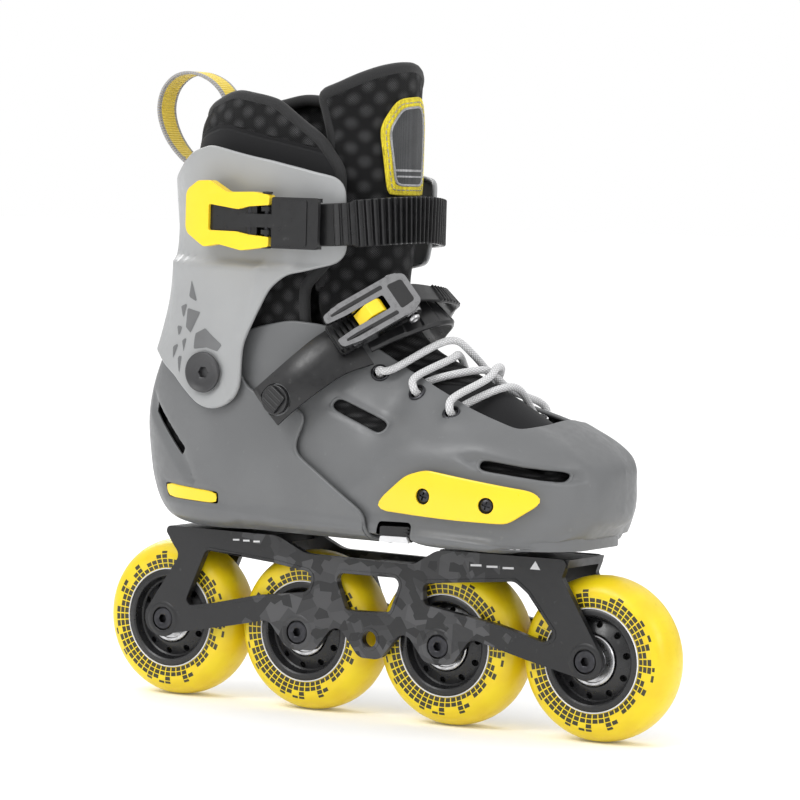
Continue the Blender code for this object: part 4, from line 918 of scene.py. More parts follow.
def cover(tree, outline, step, out, side):
    """A patch over the part of a surface that lies behind an outline in side view, lifted off it by out."""
    x, z = np.array([p[:2] for p in outline]).T
    xs = np.linspace(x.min() - 1, x.max() + 1, max(4, round((x.max() - x.min()) / step) + 2))
    zs = np.linspace(z.min() - 1, z.max() + 1, max(4, round((z.max() - z.min()) / step) + 2))
    bm = bmesh.new()
    for name in ("row", "girth"):
        bm.verts.layers.float.new(name)
    verts = []
    for px in xs:
        for pz in zs:
            hit, normal, _, _ = tree.ray_cast(Vector((px, side * 200, pz)), Vector((0, -side, 0)))
            verts.append(bm.verts.new(hit + normal * out if hit else (px, side * 40, pz)))
    for i in range(len(xs) - 1):
        for j in range(len(zs) - 1):
            k = i * len(zs) + j
            loop = [verts[k], verts[k + len(zs)], verts[k + len(zs) + 1], verts[k + 1]]
            bm.faces.new(loop if side < 0 else loop[::-1])
    inside = distance_inside(outline)
    return trim(bm, lambda px, py, pz, r, g: inside(px, pz))


def toe_offset(x, y, z):
    """The toe shell runs under the heel shell behind the seam and comes up level with it further forward."""
    return TOE_INSET * np.clip((34 - x) / 16, 0, 1)


def heel_offset(x, y, z):
    """The hidden top of the heel shell leans inward, to leave room for the cuff to swing."""
    return -3.4 * np.clip((z - 158 + 0.12 * (x + 76)) / 12, 0, 1) * np.clip((-56 - x) / 6, 0, 1)


def wing_shift(x, y):
    """The outer wing of the cuff ends further back than the inner one, which reaches round to the ladder."""
    return np.where(y < 0, 6.0, -1.0) * np.clip((x + 40) / 25, 0, 1)


def tongue_offset(x, y, z):
    """The tongue is higher above the throat. Its sides sink under the flaps and the liner's front edges."""
    flaps = -3.8 * np.clip((np.abs(y) - 13) / 7, 0, 1) * np.clip((182 - z) / 10, 0, 1)
    wrap = -7.6 * np.clip((np.abs(y) - 21) / 6, 0, 1) * np.clip((z - 186) / 8, 0,
        1) * np.clip((276 - z) / 14, 0, 1)
    return LINER_INSET + 2.2 * np.clip((z - 185) / 25, 0, 1) + flaps + wrap


def shifted(outline):
    return [(c[0] + BUCKLE_X, *c[1:]) for c in outline]


def local(a, b, c):
    """A point of the ratchet: a along the strap, b across it towards the toe, c outward."""
    return RATCHET + E1 * a + E2 * b + OUT * c


def strap_plate(outline, c0, c1):
    """A plate of the ratchet: its outline is in (a, b), between the heights c0 and c1."""
    return place(prism(outline, -c1, -c0), RATCHET, E1, E2, OUT)


def strap_out(point):
    """The way out of the strap at a point of its path."""
    return Vector((0.44, point[1] / 32, 0.5)).normalized()


def strap_across(path):
    """The direction across the strap at each point of its path: along the boot, square to the way out."""
    return [tuple(strap_out(point).cross(tangent)) for point, tangent in zip(path, frame_axes(path))]


def lace_route(tree):
    """The lace's points: crossed over the tongue, with a bar under the front pair and both ends inside.

    Each strand leaves an eyelet outward, crosses, and dives under the edge of the shell on the other side.
    """
    outer, inner = eyelet_points(tree, -1), eyelet_points(tree, 1)
    tongue = surface_tree(LINER_INSET + LACE_RADIUS + 0.9)

    def above(a, b, share, lift):
        x, y, _ = a[0].lerp(b[0], share)
        x += LACE_SLIDE * 4 * share * (1 - share)
        hit, _, _, _ = tongue.ray_cast(Vector((x, y, 300)), Vector((0, 0, -1)))
        return hit + Vector((lift * 0.4, 0, lift))

    def through(a):
        """Up through an eyelet, square to the shell."""
        return [a[0] - a[1] * 4.3, a[0] - a[1] * 1.0, a[0] + a[1] * 3.2]

    def under_edge(a):
        """A point below the shell, from an eyelet towards the middle."""
        way = Vector((0, -a[0].y, 0))
        way -= a[1] * a[1].dot(way)
        return a[0] - a[1] * 4.8 + way.normalized() * 9.5

    def over_edge(a, b):
        """A point above the shell, from eyelet a towards eyelet b."""
        way = b[0] - a[0]
        way -= a[1] * a[1].dot(way)
        return a[0] + a[1] * 3.6 + way.normalized() * 6.0

    def tucked(a, b, start, lift):
        """From the side of a, over the tongue, to a point under the shell just short of eyelet b."""
        return [above(a, b, share, lift) for share in (start, 0.5)] + [above(a, b, 0.62, 0.9 + 0.8 * lift),
            under_edge(b)]

    (l1, l2, l3), (m1, m2, m3) = outer, inner
    first = [under_edge(l1), *through(l1), over_edge(l1, m2)]
    first += [above(l1, m2, share, lift) for share, lift in ((0.4, 5.4), (0.6, 5.0))]
    down = [over_edge(m2, l1), *through(m2)[::-1], *tucked(l3, m2, 0.36, 4.6)[::-1], over_edge(l3, m2),
        *through(l3)[::-1]]
    bar = [under_edge(l3), above(l3, m3, 0.5, 1.2), under_edge(m3)]
    up = [*through(m3), over_edge(m3, l2), *tucked(m3, l2, 0.36, 0.4), *through(l2), over_edge(l2, m1)]
    last = [above(l2, m1, share, lift) for share, lift in ((0.42, 0.6), (0.6, 0.6))]
    last += [over_edge(m1, l2), *through(m1)[::-1], under_edge(m1)]
    return first + down + bar + up + last


def eyelet_points(tree, side):
    """Where the lace passes through the toe shell on one side, and the way out there."""
    found = []
    for x, z in EYELETS[side]:
        hit, normal, _, _ = tree.ray_cast(Vector((x, side * 200, z)), Vector((0, -side, 0)))
        found.append((hit, normal))
    return found


# ---------------------------------------------------------------- the boot's fine surface


def boot_surface(offset, relief=None, rows=ROWS, columns=COLUMNS):
    """The boot's surface moved outward by offset(x, y, z), and then by the finer relief(x, y, z).

    Its points carry row, girth, su (round from the front line) and sv (down from the top), both in mm.
    """
    coarse = boot_grid(34, 28)
    out = offset(*np.moveaxis(coarse, -1, 0)) if callable(offset) else np.full(coarse.shape[:2], offset)
    coarse = coarse + grid_normals(coarse) * out[..., None]
    grid = spline(spline(coarse, rows).transpose(1, 0, 2), columns, closed=True).transpose(1, 0, 2)
    if relief:
        fade = np.clip((np.arange(rows) - 4) / 8, 0, 1)[:, None]
        grid = grid + grid_normals(grid) * (relief(*np.moveaxis(grid, -1, 0)) * fade)[..., None]
    around = np.linalg.norm(np.roll(grid, -1, axis=1) - grid, axis=-1)
    arc = np.cumsum(around, axis=1) - around
    arc = np.minimum(arc, around.sum(1, keepdims=True) - arc)
    down = np.linalg.norm(np.diff(grid, axis=0), axis=-1)
    along = np.vstack([np.cumsum(down[::-1], axis=0)[::-1], np.zeros((1, columns))])
    bm = bmesh.new()
    layers = [bm.verts.layers.float.new(name) for name in ("row", "girth", "su", "sv")]
    verts = []
    for i, line in enumerate(grid):
        verts.append([])
        for j, point in enumerate(line):
            v = bm.verts.new(point)
            values = (i / (rows - 1), 1 - abs(1 - 2 * j / columns), arc[i, j], along[i, j])
            for layer, value in zip(layers, values):
                v[layer] = value
            verts[-1].append(v)
    for a, b in zip(verts, verts[1:]):
        for j in range(columns):
            k = (j + 1) % columns
            bm.faces.new((a[j], a[k], b[k], b[j]))
    bmesh.ops.remove_doubles(bm, verts=bm.verts, dist=0.05)
    bmesh.ops.recalc_face_normals(bm, faces=bm.faces)
    if sum(f.normal.dot(f.calc_center_median() - Vector((-40, 0, 140))) for f in bm.faces) < 0:
        bmesh.ops.reverse_faces(bm, faces=bm.faces)
    return bm


def surface_tree(offset, relief=None):
    bm = boot_surface(offset, relief)
    tree = BVHTree.FromBMesh(bm)
    bm.free()
    return tree


def set_layer(bm, name, field):
    """Gives each point field(x, y, z) under that name."""
    layer = bm.verts.layers.float.new(name)
    data = np.array([v.co[:] for v in bm.verts])
    for v, value in zip(bm.verts, field(*data.T)):
        v[layer] = value
    return bm


def within(outline, edge, depth):
    """A relief of that depth inside an outline in side view, reached over a width of edge."""
    inside = distance_inside(rounded(outline))

    def field(x, z):
        flat = inside(np.ravel(x), np.ravel(z)).reshape(np.shape(x))
        share = np.clip(flat / edge, 0, 1)
        return depth * share * share * (3 - 2 * share)

    return field


def crease(points, width, height):
    """A soft ridge or groove along a line in side view."""
    line = np.array(points, float)

    def field(x, z):
        p = np.stack([np.ravel(x), np.ravel(z)], -1)[:, None, :]
        a, b = line[:-1], line[1:]
        t = np.clip(((p - a) * (b - a)).sum(-1) / ((b - a) ** 2).sum(1), 0, 1)
        near = np.sqrt((((p - a) - (b - a) * t[..., None]) ** 2).sum(-1)).min(1)
        return (height * np.exp(-((near / width) ** 2))).reshape(np.shape(x))

    return field


def edge_paths(bm, depth, keep=None, step=1.6):
    """A surface's open edges as (points, normals, closed), sunk by depth. keep(point) leaves out parts."""
    bm.normal_update()
    edges, found = dict.fromkeys(e for e in bm.edges if e.is_boundary), []
    while edges:
        first = next(iter(edges))
        del edges[first]
        chain = list(first.verts)
        for _ in range(2):
            while True:
                ahead = next((e for e in chain[-1].link_edges if e in edges), None)
                if ahead is None:
                    break
                del edges[ahead]
                chain.append(ahead.other_vert(chain[-1]))
            chain.reverse()
        closed = chain[0] is chain[-1]
        data = np.array([(*(v.co - v.normal * depth), *v.normal) for v in chain])
        run = np.concatenate([[0], np.cumsum(np.linalg.norm(np.diff(data[:, :3], axis=0), axis=1))])
        if run[-1] < 6:
            continue
        at = np.linspace(0, run[-1], max(8, round(run[-1] / step)))
        data = np.stack([np.interp(at, run, column) for column in data.T], -1)
        for _ in range(3):
            middle = (data[:-2] + 2 * data[1:-1] + data[2:]) / 4
            if closed:
                ends = (data[-2] + 2 * data[0] + data[1]) / 4
                data = np.vstack([ends, middle, ends])
            else:
                data[1:-1] = middle
        if keep is None:
            found.append((data[:, :3], data[:, 3:], closed))
            continue
        kept = np.array([keep(*p) for p in data[:, :3]])
        start = int(np.argmin(kept)) if closed and not kept.all() else 0
        order = (np.arange(len(kept)) + start) % len(kept)
        run_now = []
        for i in [*order, None]:
            if i is not None and kept[i]:
                run_now.append(i)
            elif run_now:
                if len(run_now) > 6:
                    found.append((data[run_now, :3], data[run_now, 3:], closed and kept.all()))
                run_now = []
    return found


def piping(paths, radius, sides=12, squeeze=1.0):
    """Round edges along paths from edge_paths."""
    tubes = []
    for points, normals, closed in paths:
        if closed:
            points, normals = np.vstack([points, points[1:3]]), np.vstack([normals, normals[1:3]])
        tubes.append(tube(points, radius, sides, squeeze, list(normals)))
    return joined(*tubes)


def shell(name, offset, relief, inside, thick, finish, body, cutters=(), origin=(0, 0, 0)):
    """A moulded shell with rounded edges."""
    bm = boot_surface(offset, relief)
    radius = thick / 2
    trim(bm, lambda x, y, z, row, girth: inside(x, y, z) - radius)
    rim = piping(edge_paths(bm, radius), radius * 1.02)
    made = solidify(make(name, bm, finish, origin=origin), thick)
    cut(made, cutters)
    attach(made, body)
    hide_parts(name)
    make(name + "_rim", rim, finish, body, None, origin)
    return made


def cutter(outline, y0=-70, y1=70):
    return make("cutter", prism(rounded(outline, 15), y0, y1), BLACK)


def rod_cutter(start, end, radius, sides=32):
    return make("cutter", rod(start, end, radius, sides), BLACK)


# ---------------------------------------------------------------- wheels and frame


def tyre(number, x):
    half = WHEEL_WIDTH / 2
    profile = [(CORE_RADIUS + 0.3, -half + 1.4), (CORE_RADIUS + 0.9, -half + 0.75), (25.0, -half + 0.3),
        (28.0, -half)]
    profile += [
        (28.0 + 8.0 * math.sin(a), -half * math.cos(a) ** 0.85) for a in np.linspace(0.12, 1.5, 12)
    ] + [(WHEEL_RADIUS, -0.5)]
    profile = profile + [(r, -y) for r, y in reversed(profile)]
    at = (x, 0, WHEEL_RADIUS)
    body = f"wheel_{number}"
    make(f"tyre_{number}", turned(profile, 96, at), TYRE, body, f"tyre_{number}", at)


def hub(number, x):
    half = WHEEL_WIDTH / 2
    bore = BEARING_OUTER + 0.3
    side = [(CORE_RADIUS + 0.2, -half + 1.2), (CORE_RADIUS + 0.1, -half + 0.5),
        (CORE_RADIUS - 0.6, -half + 0.1)]
    side += [(CORE_RADIUS - 2.2, -half), (CORE_RADIUS - 2.9, -half + 0.5), (CORE_RADIUS - 4.0, -half + 4.0)]
    side += [(CORE_RADIUS - 4.7, -half + 4.5), (bore + 2.6, -half + 3.1), (bore + 1.4, -half + 2.2)]
    side += [(bore + 0.5, -half + 1.9), (bore, -half + 2.3), (bore, -4.0), (bore - 2.6, -3.7)]
    profile = side + [(r, -y) for r, y in reversed(side)]
    at = (x, 0, WHEEL_RADIUS)
    body = f"wheel_{number}"
    piece = make(f"hub_{number}", turned(profile, 72, at), CORE, origin=at)
    holes = []
    for k in range(10):
        angle = 2 * math.pi * (k + 0.3) / 10
        centre = Vector((x + 15.6 * math.cos(angle), 0, WHEEL_RADIUS + 15.6 * math.sin(angle)))
        for s in (-1, 1):
            holes.append(rod(centre + Vector((0, s * 4.6, 0)), centre + Vector((0, s * 16, 0)), 1.5, 14))
    cut(piece, [make("cutter", joined(*holes), BLACK)])
    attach(piece, body)
    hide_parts(f"hub_{number}")
    for s, label in ((-1, "outer"), (1, "inner")):
        ring = turned([(22.75, s * 11.3), (22.75, s * 11.75), (22.3, s * 11.8), (22.3, s * 11.3)], 96, at)
        make(f"core_line_{number}_{label}", ring, PRINT, body, None, at)


def bearings(number, x):
    at = (x, 0, WHEEL_RADIUS)
    for s, label in ((-1, "outer"), (1, "inner")):
        a, b = 4.2, 11.2
        profile = [(11.0, a), (11.0, b - 0.4), (10.6, b), (9.6, b), (9.3, b - 0.7), (6.5, b - 0.7)]
        profile += [(6.3, b), (4.7, b), (4.3, b - 0.4), (4.3, a)]
        ring = turned([(r, s * y) for r, y in profile], 48, at)
        name = f"bearing_{number}_{label}"
        make(name, ring, STEEL, f"wheel_{number}", name, at)


def axle(number, x):
    face = RAIL_OUTER + 0.4
    at = (x, 0, WHEEL_RADIUS)
    profile = [(0, -face + 3.0), (2.1, -face + 3.0), (2.15, -face + 0.3), (2.6, -face), (4.5, -face)]
    profile += [(5.0, -face + 0.5), (5.0, -face + 1.6), (BEARING_BORE - 0.15, -face + 1.6)]
    profile += [(BEARING_BORE - 0.15, -3.8), (5.2, -3.8)]
    profile += [(r, -y) for r, y in reversed(profile)]
    body = turned(profile, 48, at, phase=0.0, socket=2.2)
    make(f"axle_{number}", body, BLACK_STEEL, "chassis", f"axle_{number}", at)


FRAME_BOLT_X = (-79.0, 68.0)


def inflated(outline, grow):
    """An outline moved outward by grow (inward if it is negative)."""
    p = np.array([c[:2] for c in outline])
    a, b = p - np.roll(p, 1, axis=0), np.roll(p, -1, axis=0) - p
    turn = np.sign((p[:, 0] * np.roll(p[:, 1], -1) - np.roll(p[:, 0], -1) * p[:, 1]).sum())
    na, nb = (np.stack([e[:, 1], -e[:, 0]], -1) / np.maximum(np.linalg.norm(e, axis=1), 1e-6)[:,
        None] for e in (a, b))
    way = na + nb
    way /= np.maximum(np.linalg.norm(way, axis=1), 0.4)[:, None]
    return [tuple(q) for q in p + way * grow * turn]


def frame_piece():
    parts = []
    for s in (-1, 1):
        holes = [rounded(w, 12) for w in WINDOWS] + [circle(1.5, 36.2, 3.6, 32)]
        holes += [circle(x, WHEEL_RADIUS, 5.4, 40, 0.2 + 0.15 * i) for i, x in enumerate(AXLE_X)]
        parts.append(prism(rounded(RAIL, 10), s * (RAIL_OUTER - RAIL_THICK), s * RAIL_OUTER, holes))
        for x in AXLE_X:
            at, start = (x, 0, WHEEL_RADIUS), s * BOSS_INNER
            profile = [(4.15, 0), (4.15, 3.6), (7.6, 3.6), (7.6, 2.5), (6.2, 0)]
            parts.append(turned([(r, start + s * y) for r, y in profile], 40, at))
            ring = [(5.45, 3.9), (5.45, 5.15), (5.8, 5.35), (7.4, 5.25), (8.2, 4.8), (8.2, 3.9)]
            parts.append(turned([(r, start + s * y) for r, y in ring], 48, at))
        lip = [(3.55, 16.6), (3.55, 17.25), (3.9, 17.35), (5.0, 17.2), (5.3, 16.6)]
        parts.append(turned([(r, s * y) for r, y in lip], 40, (1.5, 0, 36.2)))
    bottom = DECK_TOP - DECK_THICK
    for x0, x1, slope0, slope1 in ((-108, -50, 1, -2), (36, 100, -2, 1)):
        outline = [(x0, DECK_TOP), (x1, DECK_TOP), (x1 - slope1, bottom), (x0 + slope0, bottom)]
        parts.append(prism(outline, -RAIL_OUTER + 1, RAIL_OUTER - 1))
    parts.append(prism(rounded(((-9, 69, 1), (9, 69, 1), (9, 65.6, 1), (-9, 65.6, 1)), 10), -15, 15))
    piece = make("frame", joined(*parts), CAMO, origin=(0, 0, 0), bevel=0.55, segments=2)
    bolts = [rod_cutter((x, 0, 60), (x, 0, 90), 3.2) for x in FRAME_BOLT_X]
    cut(piece, bolts)
    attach(piece, "chassis")
    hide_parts("frame")
    for i, w in enumerate(WINDOWS):
        outline = rounded(w, 12)
        for s in (-1, 1):
            face = s * RAIL_OUTER
            border = prism(inflated(outline, 1.5), face - s * 0.3, face + s * 0.28,
                [inflated(outline, 0.15)])
            side = "outer" if s < 0 else "inner"
            make(f"window_border_{i + 1}_{side}", border, CAMO, "chassis", None, bevel=0.25)


def frame_bolts():
    for name, x in zip(("frame_bolt_rear", "frame_bolt_front"), FRAME_BOLT_X):
        profile = [(0, 3.2), (2.0, 3.2), (2.05, 0.4), (2.5, 0), (4.6, 0), (5.0, 0.5), (5.0, 3.0),
            (2.9, 3.0), (2.9, 9.4), (0, 9.4)]
        body = turned(profile, 48, (0, 0, 0), phase=0.0, socket=2.1)
        bmesh.ops.transform(body, verts=body.verts, matrix=Matrix.Rotation(math.pi / 2, 4, "X"))
        bmesh.ops.translate(body, verts=body.verts, vec=(x, 0, DECK_TOP - DECK_THICK - 3.3))
        make(name, body, STEEL, "chassis", name, (x, 0, DECK_TOP))


def frame_marks():
    """A small pointer and three dashes, printed on the outer rail."""
    pale = [[(81.5, 73.6), (86.5, 73.6), (84, 77.3)]]
    pale += [[(x, 72.6), (x + 5.5, 72.9), (x + 5.4, 73.8), (x, 73.5)] for x in (52, 60, 68)]
    pale += [[(x, 74.6), (x + 3.5, 74.8), (x + 3.4, 75.6), (x, 75.4)] for x in (-72, -66.5, -61)]
    marks = [prism(p, -RAIL_OUTER - 0.08, -RAIL_OUTER + 0.2) for p in pale]
    make("frame_marks", joined(*marks), PRINT, "chassis", None)


# ---------------------------------------------------------------- shells


def heel_relief(x, y, z):
    vent = within(((-112, 143, 2), (-114, 131, 2), (-82, 98, 2), (-79, 101, 2), (-88, 118, 2)), 3.0,
        -1.5)(x, z)
    slot = within(((-104.5, 102, 2), (-64, 99.6, 2), (-61, 97, 1), (-65.5, 91, 2), (-102.5, 91.8, 2)), 1.8,
        -0.9)(x, z)
    lip = crease(((16, 82), (12.5, 94.5), (-27, 119.5)), 2.4, 0.35)(x, z)
    step = -0.9 * np.clip((87 - z) / 1.6, 0, 1) * (x > -60)
    rib = crease(((-52, 83), (-43, 92.5)), 1.1, 0.9)(x, z)
    return np.where(np.abs(y) > 20, vent + slot + lip, 0) + rib + step * (np.abs(y) > 25)


def toe_relief(x, y, z):
    side = np.clip((np.abs(y) - 14) / 6, 0, 1)
    ridge = crease(((6, 104), (20, 116), (38, 124.5), (60, 125.5), (82, 129)), 5.5, 1.0)(x, z)
    below = -0.9 * within(((28, 116, 4), (44, 121.5, 4), (112, 116, 3), (140, 104), (140, 82), (20, 82),
        (20, 100, 4)), 7, 1)(x, z)
    brow = crease(((48, 136), (70, 136), (92, 130.5), (108, 121.5), (118, 117)), 3.6, 0.9)(x, z)
    slot = within(((57, 121.8, 1), (66, 124, 1), (108, 118, 1), (110, 112.6, 1), (104, 111.6, 1),
        (68, 116, 2)), 2.6, -1.7)(x, z)
    vent = within(((-16, 140, 1), (-10, 146.5, 2), (22, 134.5, 1), (17, 126.5, 2), (-13, 137, 1)), 2.6,
        -1.0)(x, z)
    flap = crease(((-40, 160), (-20, 150), (12, 138), (34, 128)), 4.5, 0.45)(x, z)
    step = -1.8 * np.clip((87.6 - z) / 1.5, 0, 1) * np.clip((x - 74) / 6, 0, 1)
    window = within(((15.5, 95, 2), (39, 95.5, 2), (40.5, 78, 1), (15.5, 78, 1)), 1.6, -0.5)(x, z)
    return side * (ridge + below + brow + slot + vent + flap + window) + step


def cuff_relief(x, y, z):
    outer = np.clip((-y - 12) / 6, 0, 1)
    ahead = np.clip((x + 108) / 8, 0, 1)
    shelf_z = 202.9 - 0.024 * (x + 97)
    recess = np.clip((z - shelf_z + 3.2) / 3.2, 0, 1) * np.clip((246 - z) / 16, 0, 1)
    channel = -1.3 * recess * ahead * np.clip((-2 - x) / 10, 0, 1)
    ledge = 2.0 * np.clip((shelf_z - z) / 3.2, 0, 1) * np.clip((z - 170) / 34, 0, 1) ** 1.5
    ledge = ledge * ahead * np.clip((-42.5 - x - 0.16 * (202 - z)) / 3.0, 0, 1)
    ridge = crease(((-44.5, 201), (-47.5, 188), (-54, 170)), 1.8, 0.5)(x, z)
    lobe = np.clip((19 - np.hypot(x - PIVOT[0], z - PIVOT[1])) / 3, 0, 1) * 0.5
    disc = -0.8 * np.clip((10.2 - np.hypot(x - PIVOT[0], z - PIVOT[1])) / 1.0, 0, 1)
    fold = crease(((-100, 200), (-92, 160)), 6.0, 0.5)(x, z)
    return outer * (channel + ledge + ridge + fold) + lobe + disc


def outline_field(outline):
    inside = distance_inside(rounded(outline, 10))
    return lambda x, y, z: inside(x, z)


def without(field, outlines):
    """The same field with openings in it, through both sides."""
    gaps = [distance_inside(rounded(outline, 10)) for outline in outlines]
    return lambda x, y, z: np.min([field(x, y, z), *(-gap(x, z) for gap in gaps)], axis=0)


def heel_shell():
    holes = [
        cutter(((-107.5, 137, 1), (-109, 131.5, 1), (-90, 113, 1), (-87, 116.5, 1))),
        cutter(((-102.2, 100.1, 1.5), (-67.9, 98, 1.5), (-67.9, 92.6, 1.5), (-100.2, 93.6, 1.5))),
        rod_cutter((FRAME_BOLT_X[0], 0, 70), (FRAME_BOLT_X[0], 0, 95), 3.3),
    ]
    holes += [rod_cutter((PIVOT[0], s * 25, PIVOT[1]), (PIVOT[0], s * 60, PIVOT[1]), 4.4) for s in (-1, 1)]
    shell("heel_shell", heel_offset, heel_relief, outline_field(HEEL_OUTLINE), SHELL_THICK, GREY, "chassis",
        holes)


def toe_shell(tree):
    ahead, behind = FRAME_BOLT_X[1] + 3.5, FRAME_BOLT_X[1] - 23.5
    sole = rounded([(behind, -3.5, 3.4), (ahead, -3.5, 3.4), (ahead, 3.5, 3.4), (behind, 3.5, 3.4)], 15)
    sole_slot = prism(sole, -95, -70)
    bmesh.ops.transform(sole_slot, verts=sole_slot.verts, matrix=Matrix.Rotation(-math.pi / 2, 4, "X"))
    holes = [
        cutter(((18.5, 91.5, 2), (36, 92, 2), (37.5, 81.8, 1.5), (18.5, 81.8, 1.5))),
        make("cutter", sole_slot, BLACK),
    ]
    rings = []
    for s in (-1, 1):
        for point, out in eyelet_points(tree, s):
            holes.append(rod_cutter(point - out * 6, point + out * 5, 3.0))
            rings.append(ring_shape(point + out * 0.15, out, 3.35, 0.75, 32))
    vents = (
        ((-12, 139.5, 1), (-8, 143, 1), (18, 133, 1), (14, 129.3, 1)),
        ((68, 120.8, 1), (104, 116.6, 1), (102, 113.2, 1), (68, 117.2, 1)),
    )
    outline = without(outline_field(TOE_OUTLINE), vents)
    shell("toe_shell", toe_offset, toe_relief, outline, SHELL_THICK, GREY, "toe", holes)
    make("eyelets", joined(*rings), BLACK_STEEL, "toe", None)


def patches(tree, outlines, lift, side, step):
    """Thin flat shapes laid on a surface, as one bmesh."""
    parts = []
    for outline in outlines:
        parts.append(cover(tree, outline, step, lift, side))
    return joined(*parts)


def cuff_piece():
    inside = distance_inside(rounded(CUFF_OUTLINE, 10))
    field = lambda x, y, z: np.minimum(inside(x + wing_shift(x, y), z), z - 120)
    at = (PIVOT[0], 0, PIVOT[1])
    holes = [rod_cutter((PIVOT[0], s * 25, PIVOT[1]), (PIVOT[0], s * 60, PIVOT[1]), 5.2) for s in (-1, 1)]
    shell("cuff", CUFF_OUT, cuff_relief, field, CUFF_THICK, LIGHT, "cuff", holes, at)
    tree = surface_tree(CUFF_OUT, cuff_relief)
    shards = (
        ((-84, 192), (-79.5, 182.5), (-85.5, 184.5)),
        ((-91, 180), (-86.5, 181.5), (-88.5, 174.5)),
        ((-86, 179.5), (-77, 178), (-82.5, 168.5), (-86, 171)),
        ((-92.5, 171.5), (-88.5, 171), (-90, 166)),
        ((-79, 168.5), (-73.5, 171), (-63.5, 164), (-66, 161), (-72, 162.5), (-79.5, 161.5)),
        ((-87.5, 165), (-84.5, 166.5), (-85.5, 160)),
        ((-93.5, 162), (-89.5, 163.5), (-92.5, 156)),
        ((-89, 157.5), (-86.5, 158.5), (-88, 148)),
    )
    make("cuff_shards", patches(tree, shards, 0.12, -1, 0.8), SHARD, "cuff", None, at)


def pivots():
    for s, name in ((-1, "cuff_pivot_outer"), (1, "cuff_pivot_inner")):
        profile = [(0, 41.0), (2.6, 41.0), (2.7, 42.9), (3.2, 43.3), (5.0, 43.2), (7.0, 43.7), (8.3, 44.2),
            (8.9, 44.0)]
        profile += [(9.1, 43.4), (8.8, 42.7), (4.8, 42.7), (4.8, 38.9), (4.0, 38.9), (4.0, 35.4), (0, 35.4)]
        at = (PIVOT[0], 0, PIVOT[1])
        body = turned([(r, s * y) for r, y in profile], 72, at, phase=0.0, socket=2.75)
        make(name, body, DISC, "chassis", name, at)


def insole():
    shape = spline(
        ((-102.5, 0), (-99.5, 9.5), (-91, 15), (-70, 18), (-30, 19), (10, 22), (45, 21.5), (72, 18),
            (84, 13), (91, 8), (93, 0)),
        70,
    ).tolist()
    shape += [(x, -y) for x, y in shape[-2:0:-1]]
    bm = prism(shape, -96.4, -93.6)
    bmesh.ops.transform(bm, verts=bm.verts, matrix=Matrix.Rotation(-math.pi / 2, 4, "X"))
    make("insole", bm, LINING, "chassis", "insole", bevel=0.8, segments=3)


def toe_plates(tree):
    for s, name in ((-1, "outer"), (1, "inner")):
        patch = cover(tree, rounded(PLATE, 10), 1.6, GAP + 2.4, s)
        rim = piping(edge_paths(patch, 0.7), 0.72, 10)
        plate = solidify(make(f"toe_plate_{name}", patch, YELLOW), 2.4)
        holes, screws = [], []
        for i, (x, z) in enumerate(PLATE_SCREWS):
            hit, normal, _, _ = tree.ray_cast(Vector((x, s * 200, z)), Vector((0, -s, 0)))
            axis = normal.normalized()
            holes.append(rod_cutter(hit - axis * 6, hit + axis * 8, 3.5))
            screws.append((f"plate_screw_{name}_{i + 1}", hit, axis))
        cut(plate, holes)
        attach(plate, "toe")
        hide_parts(f"toe_plate_{name}")
        make(f"toe_plate_{name}_rim", rim, YELLOW, "toe", None)
        for screw, hit, axis in screws:
            cross_screw(screw, hit, axis, 3.1, 2.45, "toe")


def cross_screw(name, seat, axis, radius, high, body):
    """A domed screw head with a cross recess."""
    profile = [(0, -0.4), (radius, -0.4), (radius, high - 1.1), (radius * 0.85, high - 0.5),
        (radius * 0.5, high - 0.1), (0, high)]
    head = turned([(r, -y) for r, y in profile], 40, (0, 0, 0))
    turn = Vector((0, -1, 0)).rotation_difference(Vector(axis)).to_matrix().to_4x4()
    put = Matrix.Translation(seat) @ turn
    bmesh.ops.transform(head, verts=head.verts, matrix=put)
    piece = make(name, head, BLACK_STEEL, origin=seat)
    arms = []
    for angle in (0.3, 0.3 + math.pi / 2):
        arm = prism(((-radius * 0.62, -0.42), (radius * 0.62, -0.42), (radius * 0.62, 0.42),
            (-radius * 0.62, 0.42)), -high - 1, -high + 1.1)
        bmesh.ops.transform(arm, verts=arm.verts, matrix=put @ Matrix.Rotation(angle, 4, "Y"))
        arms.append(make("cutter", arm, BLACK))
    cut(piece, arms)
    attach(piece, body)
    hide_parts(name)


def heel_inserts(tree):
    for s, name in ((-1, "outer"), (1, "inner")):
        patch = cover(tree, rounded(INSERT, 12), 1.6, -0.4, s)
        rim = piping(edge_paths(patch, 0.5), 0.5, 8)
        piece = solidify(make(f"heel_insert_{name}", patch, YELLOW), 1.4)
        cut(piece, [])
        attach(piece, "chassis")
        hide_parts(f"heel_insert_{name}")
        make(f"heel_insert_{name}_rim", rim, YELLOW, "chassis", None)


def size_button(tree):
    hit, _, _, _ = tree.ray_cast(Vector((28, -200, 86)), Vector((0, 1, 0)))
    face = hit.y + 0.6
    well = prism(rounded(((20.2, 89.5, 1), (35.2, 90, 1), (35.6, 83, 1), (20.2, 83, 1)), 15), face + 1.4,
        face + 4.4)
    make("size_button", well, BLACK, "size_button", "size_button", bevel=0.3)
    tongue_key = prism(rounded(((21.5, 85.4, 0.6), (34.5, 85.6, 0.6), (36, 82.9, 0.6), (20.8, 82.9, 0.6)),
        15), face - 0.2, face + 2.0)
    make("size_button_key", tongue_key, LATCH, "size_button", None, bevel=0.4)
    teeth = [prism(((32.9, z), (34.9, z), (34.9, z + 0.8), (32.9, z + 0.8)), face + 0.4,
        face + 2.0) for z in (86.6, 88.2)]
    make("size_button_teeth", joined(*teeth), BLACK, "size_button", None, bevel=0.15)


